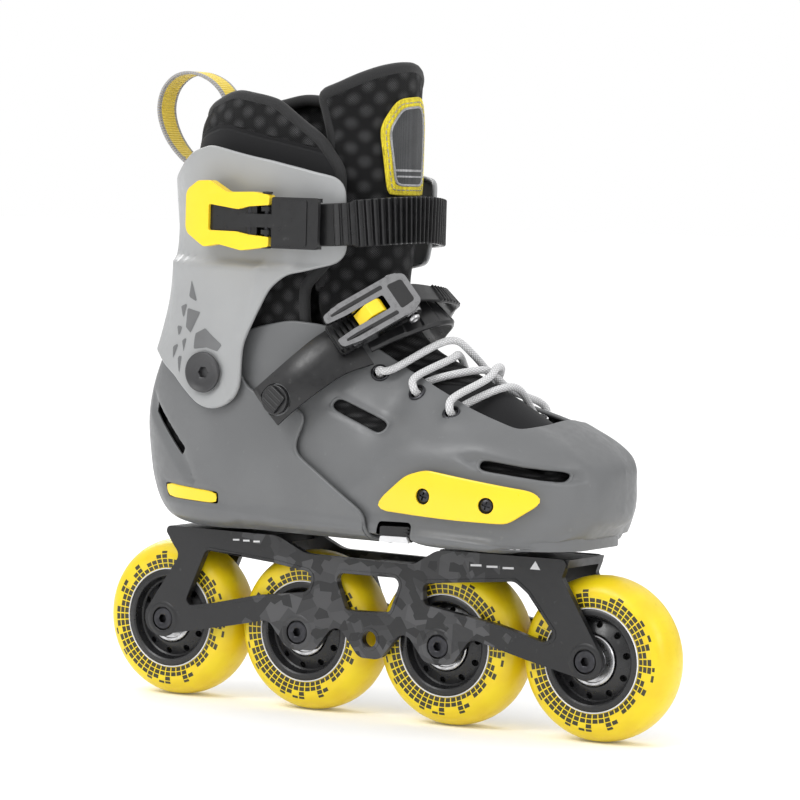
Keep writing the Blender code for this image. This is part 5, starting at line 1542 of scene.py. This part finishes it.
DIGITS = {
    "3": (((0, 4), (2, 4), (2, 0), (0, 0)), ((0.5, 2), (2, 2))),
    "4": (((0, 4), (0, 2), (2, 2)), ((2, 4), (2, 0))),
    "5": (((2, 4), (0, 4), (0, 2), (2, 2), (2, 0), (0, 0)),),
    "6": (((2, 4), (0, 4), (0, 0), (2, 0), (2, 2), (0, 2)),),
}


def foot_line(tree):
    """(x, y) along the outer side of the toe shell's foot."""
    line = []
    for x in np.linspace(46, 132, 44):
        hit, _, _, _ = tree.ray_cast(Vector((x, -200, 89.0)), Vector((0, 1, 0)))
        if hit:
            line.append((x, hit.y + 1.2))
    return line


def toe_foot(tree):
    """The foot of the toe shell, stepped in and standing close above the frame."""
    line = foot_line(tree)
    bm = prism(line + [(x, -y) for x, y in reversed(line)], -90.0, -83.0)
    bmesh.ops.transform(bm, verts=bm.verts, matrix=Matrix.Rotation(-math.pi / 2, 4, "X"))
    bmesh.ops.recalc_face_normals(bm, faces=bm.faces)
    add_bevel(make("toe_foot", bm, GREY, "toe", None), 0.7)


def size_numbers(tree):
    """The four sizes as plain strokes, printed on the foot under the plate."""
    line = np.array(foot_line(tree))
    strokes, x = [], 61.5
    for word in ("36", "35", "34", "33"):
        for digit in word:
            for path in DIGITS[digit]:
                ends = [(x + u * 0.72, 83.9 + v * 0.95) for u, v in path]
                ends = [Vector((u, np.interp(u, *line.T) - 0.05, v)) for u, v in ends]
                strokes += [rod(a, b, 0.3, 6) for a, b in zip(ends, ends[1:])]
            x += 2.6
        x += 1.9
    make("size_numbers", joined(*strokes), PRINT, "toe", None)


# ---------------------------------------------------------------- soft goods


def puff(inside, edge, high):
    """Padding that rises from a seam over a width of edge."""

    def field(x, z):
        flat = inside(np.ravel(x), np.ravel(z)).reshape(np.shape(x))
        return high * np.sqrt(np.clip(flat / edge, 0, 1))

    return field


def liner_piece():
    inside = distance_inside(rounded(LINER_TOP, 10))
    cuff_edge = distance_inside(rounded(CUFF_OUTLINE))

    def offset(x, y, z):
        band = 9.5 + cuff_edge(np.ravel(x + wing_shift(x, y)), np.ravel(z)).reshape(np.shape(x))
        rise = puff(inside, 9, 1.0)(x, z) * np.clip(-band / 4, 0, 1) * np.clip((z - 238) / 10, 0, 1)
        return rise

    bm = boot_surface(LINER_INSET, offset)
    for v in bm.verts:
        low = min(1, max(0, (103 - v.co.z) / 9))
        v.co.y *= 1 - 0.17 * low
        v.co.z += 1.2 * low * min(1, max(0, (v.co.x - 70) / 12))

    def field(x, y, z, row, girth):
        edge = TONGUE_GIRTH + 0.02 + (WRAP_GIRTH - TONGUE_GIRTH - 0.02) * np.clip((z - 192) / 16, 0, 1)
        throat = np.maximum((girth - edge) * 100, (TONGUE_START - 0.01 - row) * 200)
        return np.minimum(inside(x, z) - 1.5, throat - 1.5)

    trim(bm, field)

    def smooth(x, y, z):
        band = 9.5 + cuff_edge(x + wing_shift(x, y), z)
        return np.minimum(band, z - 236)

    set_layer(bm, "smooth", smooth)
    paths = edge_paths(bm, 2.0, lambda x, y, z: z > 150)
    made = solidify(make("liner", bm, MESH, "chassis", "liner"), LINER_THICK)
    make("liner_binding", piping(paths, 2.7, 14), BINDING, "chassis", None)


def tongue_piece():
    def offset(x, y, z):
        return 0.8 * np.clip((z - 200) / 30, 0, 1) * np.clip(1 - (y / 26) ** 2, 0, 1)

    bm = boot_surface(tongue_offset, offset)

    def sides(x, y, z, row, girth):
        edge = TONGUE_GIRTH + 0.03 * np.clip((z - 256) / 20, 0, 1)
        return np.minimum((edge - girth) * 100, (row - TONGUE_START) * 200) - 1.2

    trim(bm, sides)
    trim(bm, lambda x, y, z, row, girth: 288.2 - z - 0.0085 * y**2 - 0.01 * np.clip(-x, 0, 40) ** 2)
    set_layer(bm, "smooth", lambda x, y, z: 150.5 - z)
    paths = edge_paths(bm, 2.4, lambda x, y, z: z > 190)
    made = solidify(make("tongue", bm, TONGUE_MESH, "chassis", "tongue"), 5.0)
    make("tongue_binding", piping(paths, 3.0, 14), BINDING, "chassis", None)


def pull_loop():
    path = spline(LOOP_PATH, 90)
    profile = flat_profile(14.0, 1.4, 0.3)
    make("pull_loop", strip(path, (0, 1, 0), profile), WEB, "cuff", "pull_loop")
    ends = []
    for at in (4, 80):
        for y in (-5.4, 5.4):
            ends += [rod(Vector(path[at + k]) + Vector((0, y * 0.9, 0)),
                Vector(path[at + k + 1]) + Vector((0, y * 0.9, 0)), 0.25, 6) for k in (0, 2, 4)]
    make("pull_loop_stitches", joined(*ends), BADGE_PIPE, "cuff", None)


def badge_patch(tree, inset, lift, extra=None):
    inside = distance_inside(rounded(BADGE, 10))
    patch = bmesh.new()
    for name in ("row", "girth"):
        patch.verts.layers.float.new(name)
    ys, zs = np.linspace(-22, 16, 44), np.linspace(232, 278, 50)
    verts = []
    for y in ys:
        for z in zs:
            hit, normal, _, _ = tree.ray_cast(Vector((100, y, z)), Vector((-1, 0, 0)))
            verts.append(patch.verts.new(hit + normal * lift))
    for i in range(len(ys) - 1):
        for j in range(len(zs) - 1):
            k = i * len(zs) + j
            patch.faces.new((verts[k], verts[k + len(zs)], verts[k + len(zs) + 1], verts[k + 1]))

    def field(x, y, z, r, g):
        value = inside(y, z) - inset
        return np.minimum(value, extra(y, z)) if extra else value

    return trim(patch, field)


def tongue_badge():
    tree = surface_tree(LINER_INSET + 2.2)
    border = badge_patch(tree, 0.4, 2.6)
    rim = piping(edge_paths(border, 0.4), 0.55, 8)
    made = solidify(make("tongue_badge", border, BADGE_BORDER), 1.6)
    cut(made, [])
    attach(made, "cuff")
    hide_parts("tongue_badge")
    make("badge_rim", rim, BADGE_BORDER, "cuff", None)
    field = badge_patch(tree, 4.4, 2.85)
    pipe = piping(edge_paths(field, 0.0), 0.55, 8)
    make("badge_field", solid_patch(field, 0.5), BADGE_FIELD, "cuff", None)
    make("badge_pipe", pipe, BADGE_PIPE, "cuff", None)
    lines = []
    for z in (235.5, 238.1, 240.7, 243.3):
        lines.append(solid_patch(badge_patch(tree, 4.8, 3.1, lambda y, pz, z=z: 0.5 - np.abs(pz - z)), 0.4))
    make("badge_lines", joined(*lines), BADGE_PIPE, "cuff", None)
    seam = badge_patch(tree, 2.2, 2.7)
    dashes = []
    for points, _, _ in edge_paths(seam, -0.05, None, 0.9):
        for i in range(0, len(points) - 2, 3):
            dashes.append(rod(points[i], points[i + 2], 0.22, 6))
    seam.free()
    make("badge_stitches", joined(*dashes), BADGE_PIPE, "cuff", None)


def solid_patch(bm, thick):
    bmesh.ops.recalc_face_normals(bm, faces=bm.faces)
    bmesh.ops.solidify(bm, geom=bm.faces[:], thickness=thick)
    return bm


def lace_piece(tree):
    points = spline(lace_route(tree), 460)
    for _ in range(3):
        points[1:-1] = (points[:-2] + 2 * points[1:-1] + points[2:]) / 4
    body = tube(points, LACE_RADIUS, 14)
    made = make("lace", body, LACE, "toe", "lace")
    path = [tuple(p * MM) for p in points]
    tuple(path[0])


# ---------------------------------------------------------------- top buckle


def bent(bm, start, amount):
    """Bends the part behind start inward, round the cuff."""
    for v in bm.verts:
        v.co.y += amount * max(0.0, start - v.co.x) ** 2
    return bm


def sliced(bm, xs):
    """Extra edges across a plate, so that it can bend."""
    for x in xs:
        geometry_all = bm.verts[:] + bm.edges[:] + bm.faces[:]
        bmesh.ops.bisect_plane(bm, geom=geometry_all, plane_co=(x, 0, 0), plane_no=(1, 0, 0))
    return bm


def buckle_pieces():
    base = prism(rounded(shifted(((-76, 228, 3), (-36, 228, 2), (-36, 210.6, 2), (-76, 212, 3))), 12),
        -45.4, -42.6)
    parts = [base]
    for z in (214.7, 224.8):
        ear = prism(rounded(shifted(((-44, -44, 0), (-37, -44, 0), (-37.3, -51.2, 2.6),
            (-42.7, -51.2, 2.6))), 12), -1.0, 1.0)
        bmesh.ops.transform(ear, verts=ear.verts, matrix=Matrix.Rotation(math.pi / 2, 4, "X"))
        for v in ear.verts:
            v.co = Vector((v.co.x, -abs(v.co.y), v.co.z + z))
        bmesh.ops.recalc_face_normals(ear, faces=ear.faces)
        parts.append(ear)
    parts.append(rod((-47 + 3, -46.6, 219.6), (-47 + 3, -45.2, 219.6), 3.0, 32))
    make("buckle_base", joined(*parts), BLACK, "cuff", "buckle_base", bevel=0.4)
    lever = prism(rounded(shifted(LEVER), 12), -51.4, -46.6)
    bent(sliced(lever, np.arange(-80, -60, 2.0)), -62, 0.010)
    make("buckle_lever", lever, YELLOW, "buckle_lever", "buckle_lever", LEVER_PIN,
        bevel=1.25, segments=4)
    web = prism(rounded(shifted(((-70.5, 227, 1), (-52, 225.2, 1), (-45, 226.5, 1), (-45, 212.8, 1),
        (-52, 213.9, 1), (-70.5, 214.2, 1))), 12), -49.6, -48.6)
    make("buckle_lever_web", web, BLACK, "buckle_lever", None, LEVER_PIN, bevel=0.2)
    for name, pin, half, body in (("lever_pin", LEVER_PIN, 12.5, "cuff"),
        ("catch_pin", CATCH_PIN, 11.0, "buckle_lever")):
        up = Vector((0, 0, half))
        make(name, rod(pin - up, pin + up, 1.2, 24), BLACK_STEEL, body, name, pin, bevel=0.3)
    up = Vector((0, 0, 1))
    heads = [rod(LEVER_PIN + up * z, LEVER_PIN + up * (z + 1.0), 2.3, 28) for z in (11.4, -12.4)]
    make("lever_pin_heads", joined(*heads), BLACK_STEEL, "cuff", None, bevel=0.3)
    top, bottom = 230.2, 207.8
    plate = rounded(
        shifted(((-52.6, 222.6, 2), (-35.4, 222.6), (-35.4, top, 1), (-11.5, top, 2), (-11.5, bottom, 2),
            (-35.4, bottom, 1), (-35.4, 216.8), (-52.6, 216.8, 2))), 12)
    parts = [prism(plate, -52.6, -50.6)]
    parts.append(prism(rounded(shifted(((-51.4, 222.6, 1), (-46.6, 222.6, 1), (-46.6, 216.8, 1),
        (-51.4, 216.8, 1)))), -51, -46.8))
    parts.append(prism(shifted([(-35.2, top - 0.2), (-12, top - 0.2), (-12, top - 1.9),
        (-35.2, top - 1.9)]), -51.5, -48.3))
    parts.append(prism(shifted([(-35.2, bottom + 1.7), (-12, bottom + 1.7), (-12, bottom + 0.2),
        (-35.2, bottom + 0.2)]), -51.5, -48.3))
    parts.append(prism(shifted([(-22, 224), (-20, 224), (-20, 213), (-22, 213)]), -51.5, -50.1))
    parts.append(prism(rounded(shifted(((-34, 228.9, 1), (-17.2, 228.9, 1), (-17.2, 209.1, 1),
        (-34, 209.1, 1))), 12), -53.0, -52.0))
    make("buckle_catch", joined(*parts), BLACK, "buckle_catch", "buckle_catch", CATCH_PIN,
        bevel=0.45)


def toothed(path, start, stop, pitch, base, high, width, across):
    """A strap along a path whose outer face carries teeth between the shares start and stop of its length."""
    line = np.array([tuple(p) for p in path], float)
    run = np.concatenate([[0], np.cumsum(np.linalg.norm(np.diff(line, axis=0), axis=1))])
    side = np.array([tuple(a) for a in across]) if isinstance(across, list) else None
    at, heights = [], []
    s, total = 0.0, run[-1]
    while s < start * total:
        at.append(s)
        heights.append(base)
        s += 1.5
    s = start * total
    while s + pitch < stop * total:
        for share, h in ((0.0, 0.0), (0.1, 1.0), (0.2, 1.0), (0.74, 0.42), (0.8, 0.0)):
            at.append(s + share * pitch)
            heights.append(base + high * h)
        s += pitch
    while s < total:
        at.append(s)
        heights.append(base)
        s += 1.5
    at.append(total)
    heights.append(base)
    points = np.stack([np.interp(at, run, line[:, k]) for k in range(3)], -1)
    turned_sides = [tuple(v) for v in np.stack([np.interp(at, run, side[:, k]) for k in range(3)],
        -1)] if side is not None else across

    def profile(i, share):
        half = (width(share) if callable(width) else width) / 2
        top = heights[i]
        return ((-half + 0.3, 0), (half - 0.3, 0), (half, 0.4), (half, top - 0.35), (half - 0.4, top),
            (-half + 0.4, top), (-half, top - 0.35), (-half, 0.4))

    return strip(points, turned_sides, profile)


def cuff_ladder():
    path, up = [Vector(p) for p in spline(LADDER_PATH, 220)], Vector((0, 0, 1))
    path = [p + up.cross(tangent) * LADDER_THICK for p, tangent in zip(path, frame_axes(path))]
    body = toothed(path, 0.17, 0.93, 3.3, LADDER_THICK, 1.5, lambda t: 18.6 if t < 0.16 else 20.6, up)
    make("cuff_ladder", body, BLACK, "cuff", "cuff_ladder", sharp=25)
    cross_screw_at = Vector((-14, 0, 218.7))
    profile = [(0, 42.4), (1.9, 42.4), (1.9, 48.0), (4.4, 48.0), (4.0, 48.9), (2.6, 49.5), (1.6, 49.6),
        (1.5, 48.6), (0, 48.6)]
    head = turned(profile, 48, cross_screw_at, phase=0.0, socket=1.7)
    make("ladder_screw", head, STEEL, "cuff", "ladder_screw", (-14, 45, 218.7))


# ---------------------------------------------------------------- instep strap


def ratchet_pieces():
    base = strap_plate(rounded(((-21, 8, 2), (20, 8, 2), (20, -8, 2), (-21, -8, 2)), 12), 0, 1.4)
    parts = [base]
    for b in (-6.9, 6.9):
        cheek = prism(rounded(((-8, 0.5), (-4, 6.6, 2), (10, 7.0, 2), (17.5, 8.4, 3), (19, 0.5)), 12), -0.8,
            0.8)
        parts.append(place(cheek, local(0, b, 0), E1, OUT, -E2))
    make("ratchet_base", joined(*parts), BLACK, "toe", "ratchet_base", bevel=0.35)
    ribs = [strap_plate(rounded(((a, 6.4, 0.6), (a + 1.5, 6.4, 0.6), (a + 1.5, -6.4, 0.6), (a, -6.4, 0.6)),
        20), 1.3, 3.6) for a in np.arange(-20.5, -9.0, 2.6)]
    make("ratchet_ribs", joined(*ribs), BLACK, "toe", None, bevel=0.5)
    frame_outline = rounded(LEVER_FRAME, 10)
    lever = [strap_plate(frame_outline, 8.9, 11.2)]
    for b in (-9.4, 9.4):
        side = prism(rounded(((-16, 9.8), (-15, 5.6, 2), (8, 4.2, 3), (17.8, 1.8, 3.4), (18.6, 10, 3)), 12),
            -0.9, 0.9)
        lever.append(place(side, local(0, b, 0), E1, OUT, -E2))
    make("ratchet_lever", joined(*lever), CHROME, "ratchet_lever", "ratchet_lever",
        local(*LEVER_AXIS), bevel=0.8, segments=3)
    inlay = []
    for s in (-1, 1):
        band_outline = rounded(((-17.5, s * 6.2, 0.7), (-12, s * 5.9, 1), (8.5, s * 6.0, 1),
            (8.5, s * 7.9, 1), (-12, s * 7.8, 1), (-17.8, s * 7.2, 0.7)), 20)
        inlay.append(strap_plate(band_outline, 11.0, 11.35))
    inlay.append(strap_plate(rounded(((10.5, -6.5, 1), (17.6, -5.8, 1.5), (17.6, 5.8, 1.5), (10.5, 6.5, 1)),
        20), 11.0, 11.35))
    make("ratchet_inlay", joined(*inlay), BLACK, "ratchet_lever", None, bevel=0.1)
    for (a, _, c), name, half in ((LEVER_AXIS, "ratchet_pin", 11.4), (TRIGGER_AXIS, "trigger_pin", 8.2)):
        pin = [rod(local(a, -half, c), local(a, half, c), 1.2, 24)]
        pin += [ring_head(a, s * half, c, s) for s in (-1, 1)]
        make(name, joined(*pin), STEEL, "toe", name, local(a, 0, c))
    blade = ((-9.0, 6.9, 1), (-2.5, 12.4, 1.5), (3.5, 12.2, 2), (5.5, 8.6, 1.5), (2.0, 2.9, 2),
        (-3.2, 2.9, 1.5))
    body = place(prism(rounded(blade, 12), -3.1, 3.1), local(0, 0, 0), E1, OUT, -E2)
    make("ratchet_trigger", body, YELLOW, "ratchet_trigger", "ratchet_trigger",
        local(*TRIGGER_AXIS), bevel=0.8, segments=3)


def ring_head(a, b, c, s):
    """A rolled pin head."""
    profile = [(0, 0.3), (1.0, 0.3), (1.3, 0.75), (2.3, 0.6), (2.6, 0), (2.6, -0.5), (0, -0.5)]
    head = turned([(r, -y) for r, y in profile], 32, (0, 0, 0))
    turn = Vector((0, -1, 0)).rotation_difference(E2 * s).to_matrix().to_4x4()
    bmesh.ops.transform(head, verts=head.verts, matrix=Matrix.Translation(local(a, b, c)) @ turn)
    return head


def strap_pieces():
    path = [Vector(p) for p in spline(STRAP_PATH[:5], 60)]
    path = [p + strap_out(p) * (0.6 - 5.0 * i / 59) for i, p in enumerate(path)]

    def arm_profile(i, t):
        half = (20 - 2.5 * t) / 2
        start = min(1.0, i / 3)
        top = 2.0 + 1.6 * start
        skirt = half + 7.0 * t * t
        return ((-skirt, -0.6 * t), (half, 0), (half, 1.3), (half * 0.5, top), (-half * 0.3, top),
            (-skirt, 1.0 - 0.6 * t))

    arm = make("strap_arm", strip(path, strap_across(path), arm_profile), BLACK, bevel=0.4, sharp=20)
    seat = path[0] + Vector((6.0, 0, 4.0))
    cut(arm, [rod_cutter(seat + Vector((0, 20, 0)), seat - Vector((0, 20, 0)), 7.2)])
    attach(arm, "toe")
    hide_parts("strap_arm")
    knob = [rod(seat + Vector((0, -0.6, 0)), seat - Vector((0, 3.6, 0)), 6.6, 48)]
    make("strap_adjuster", joined(*knob), CORE, "toe", "strap_adjuster", seat, bevel=0.6)
    along = Vector((0.62, 0, 0.78))
    out = Vector((-along.z, 0, along.x))
    ribs = []
    for k in range(4):
        middle = seat + along * (-2.6 + 2.2 * k)
        rib = [middle + out * 4.2, middle - out * 4.2]
        ribs.append(rod(rib[0] - Vector((0, 4.2, 0)), rib[1] - Vector((0, 4.2, 0)), 1.0, 12))
    base = prism([(-4.2, -4.4), (4.6, -4.4), (4.6, 4.4), (-4.2, 4.4)], -5.0, -3.0)
    bmesh.ops.transform(base, verts=base.verts,
        matrix=Matrix.Translation(seat) @ Matrix.Rotation(-math.atan2(along.z, along.x), 4, "Y"))
    make("strap_adjuster_grip", joined(base, *ribs), BLACK, "toe", None, bevel=0.3)

    points = [local(9, 0, 2.0), local(15, 0, 2.0), local(21, 0, 2.4)]
    points += [Vector(p) + strap_out(p) * 5.0 for p in STRAP_PATH[9:]]
    points = [Vector(p) for p in spline([tuple(p) for p in points], 160)]
    body = toothed(points, 0.2, 0.72, 2.1, 1.4, 0.9, 9.6, strap_across(points))
    make("instep_ladder", body, BLACK, "toe", "instep_ladder", sharp=25)
    end = points[-1]
    profile = [(0, 0), (5.0, 0), (5.0, 1.0), (4.4, 1.8), (2.0, 2.1), (0, 2.1)]
    rivet = turned([(r, y + 2.2) for r, y in profile], 40, end)
    make("instep_rivet", rivet, STEEL, "toe", "instep_rivet", end)
    path = [Vector(p) for p in spline(STRAP_PATH[4:12], 80)][4:]
    path = [p - strap_out(p) * 2.9 for p in path]

    def pad_profile(i, t):
        half = 11.0
        raise_by = 0.5 if (i // 9) % 2 else 0.0
        return ((-half, 0), (half, 0), (half, 1.0), (half - 1.2, 2.0 + raise_by),
            (-half + 1.2, 2.0 + raise_by), (-half, 1.0))

    make("instep_pad", strip(path, strap_across(path), pad_profile), BLACK, "toe", "instep_pad",
        bevel=0.3, sharp=20)


# ---------------------------------------------------------------- the set


def light(name, position, target, size, power):
    data = bpy.data.lights.new(name, "AREA")
    data.shape = "RECTANGLE"
    data.size, data.size_y = size
    data.energy = power
    obj = bpy.data.objects.new(name, data)
    obj.location = position
    obj.rotation_euler = (Vector(target) - Vector(position)).to_track_quat("-Z", "Y").to_euler()
    bpy.context.scene.collection.objects.link(obj)


def studio():
    scene = bpy.context.scene
    scene.view_settings.view_transform = "Standard"
    world = bpy.data.worlds.new("studio")
    world.use_nodes = True
    nodes, links = world.node_tree.nodes, world.node_tree.links
    nodes["Background"].inputs["Color"].default_value = (1, 1, 1, 1)
    height = nodes.new("ShaderNodeSeparateXYZ")
    links.new(nodes.new("ShaderNodeTexCoord").outputs["Generated"], height.inputs[0])
    shade = nodes.new("ShaderNodeMapRange")
    shade.inputs["From Min"].default_value, shade.inputs["From Max"].default_value = -0.1, 0.75
    shade.inputs["To Min"].default_value, shade.inputs["To Max"].default_value = 0.45, 1.25
    links.new(height.outputs[2], shade.inputs["Value"])
    seen = nodes.new("ShaderNodeMix")
    links.new(nodes.new("ShaderNodeLightPath").outputs["Is Camera Ray"], seen.inputs["Factor"])
    links.new(shade.outputs["Result"], seen.inputs["A"])
    seen.inputs["B"].default_value = 1.0
    links.new(seen.outputs["Result"], nodes["Background"].inputs["Strength"])
    scene.world = world
    mesh = bpy.data.meshes.new("floor")
    size = 30.0
    mesh.from_pydata([(-size, -size, 0), (size, -size, 0), (size, size, 0), (-size, size, 0)], [],
        [(0, 1, 2, 3)])
    t = Tree("floor_paper")
    tone = t.mix(t.ramp(t.noise(40, 3), 0.3, 0.7), (0.93, 0.93, 0.93), (0.95, 0.95, 0.95))
    t.shader.inputs["Emission Color"].default_value = (1, 1, 1, 1)
    t.shader.inputs["Emission Strength"].default_value = 0.06
    t.shader.inputs["Specular IOR Level"].default_value = 0.2
    mesh.materials.append(t.put(base_color=tone, roughness=0.9))
    floor = bpy.data.objects.new("floor", mesh)
    scene.collection.objects.link(floor)
    light("key", (-0.5, -1.5, 1.5), (0, 0, 0.12), (0.9, 0.9), 16)
    light("rim", (-1.2, 0.9, 1.0), (0, 0, 0.15), (0.6, 0.9), 7)
    light("toe_fill", (1.6, -0.5, 0.8), (0, 0, 0.12), (0.8, 0.8), 6)
    data = bpy.data.cameras.new("camera")
    data.sensor_width, data.lens = 36.0, 163.6
    data.clip_start, data.clip_end = 0.05, 20.0
    camera = bpy.data.objects.new("camera", data)
    right, up, back = (0.85569, 0.51676, 0.02736), (-0.05392, 0.03645, 0.99788), (0.51467, -0.85535,
        0.05905)
    turn = Matrix((right, up, back)).transposed().to_4x4()
    camera.matrix_world = Matrix.Translation((0.83409, -1.38003, 0.23693)) @ turn
    scene.collection.objects.link(camera)
    scene.camera = camera


def build():
    for number, x in enumerate(AXLE_X, 1):
        tyre(number, x)
        hub(number, x)
        bearings(number, x)
        axle(number, x)
    frame_piece()
    frame_bolts()
    frame_marks()
    tree = surface_tree(toe_offset)
    fine = surface_tree(toe_offset, toe_relief)
    heel_shell()
    toe_shell(tree)
    cuff_piece()
    pivots()
    liner_piece()
    tongue_piece()
    insole()
    pull_loop()
    tongue_badge()
    toe_plates(tree)
    size_button(tree)
    toe_foot(fine)
    size_numbers(fine)
    heel_inserts(surface_tree(heel_offset))
    buckle_pieces()
    cuff_ladder()
    ratchet_pieces()
    strap_pieces()
    lace_piece(tree)


build()
studio()
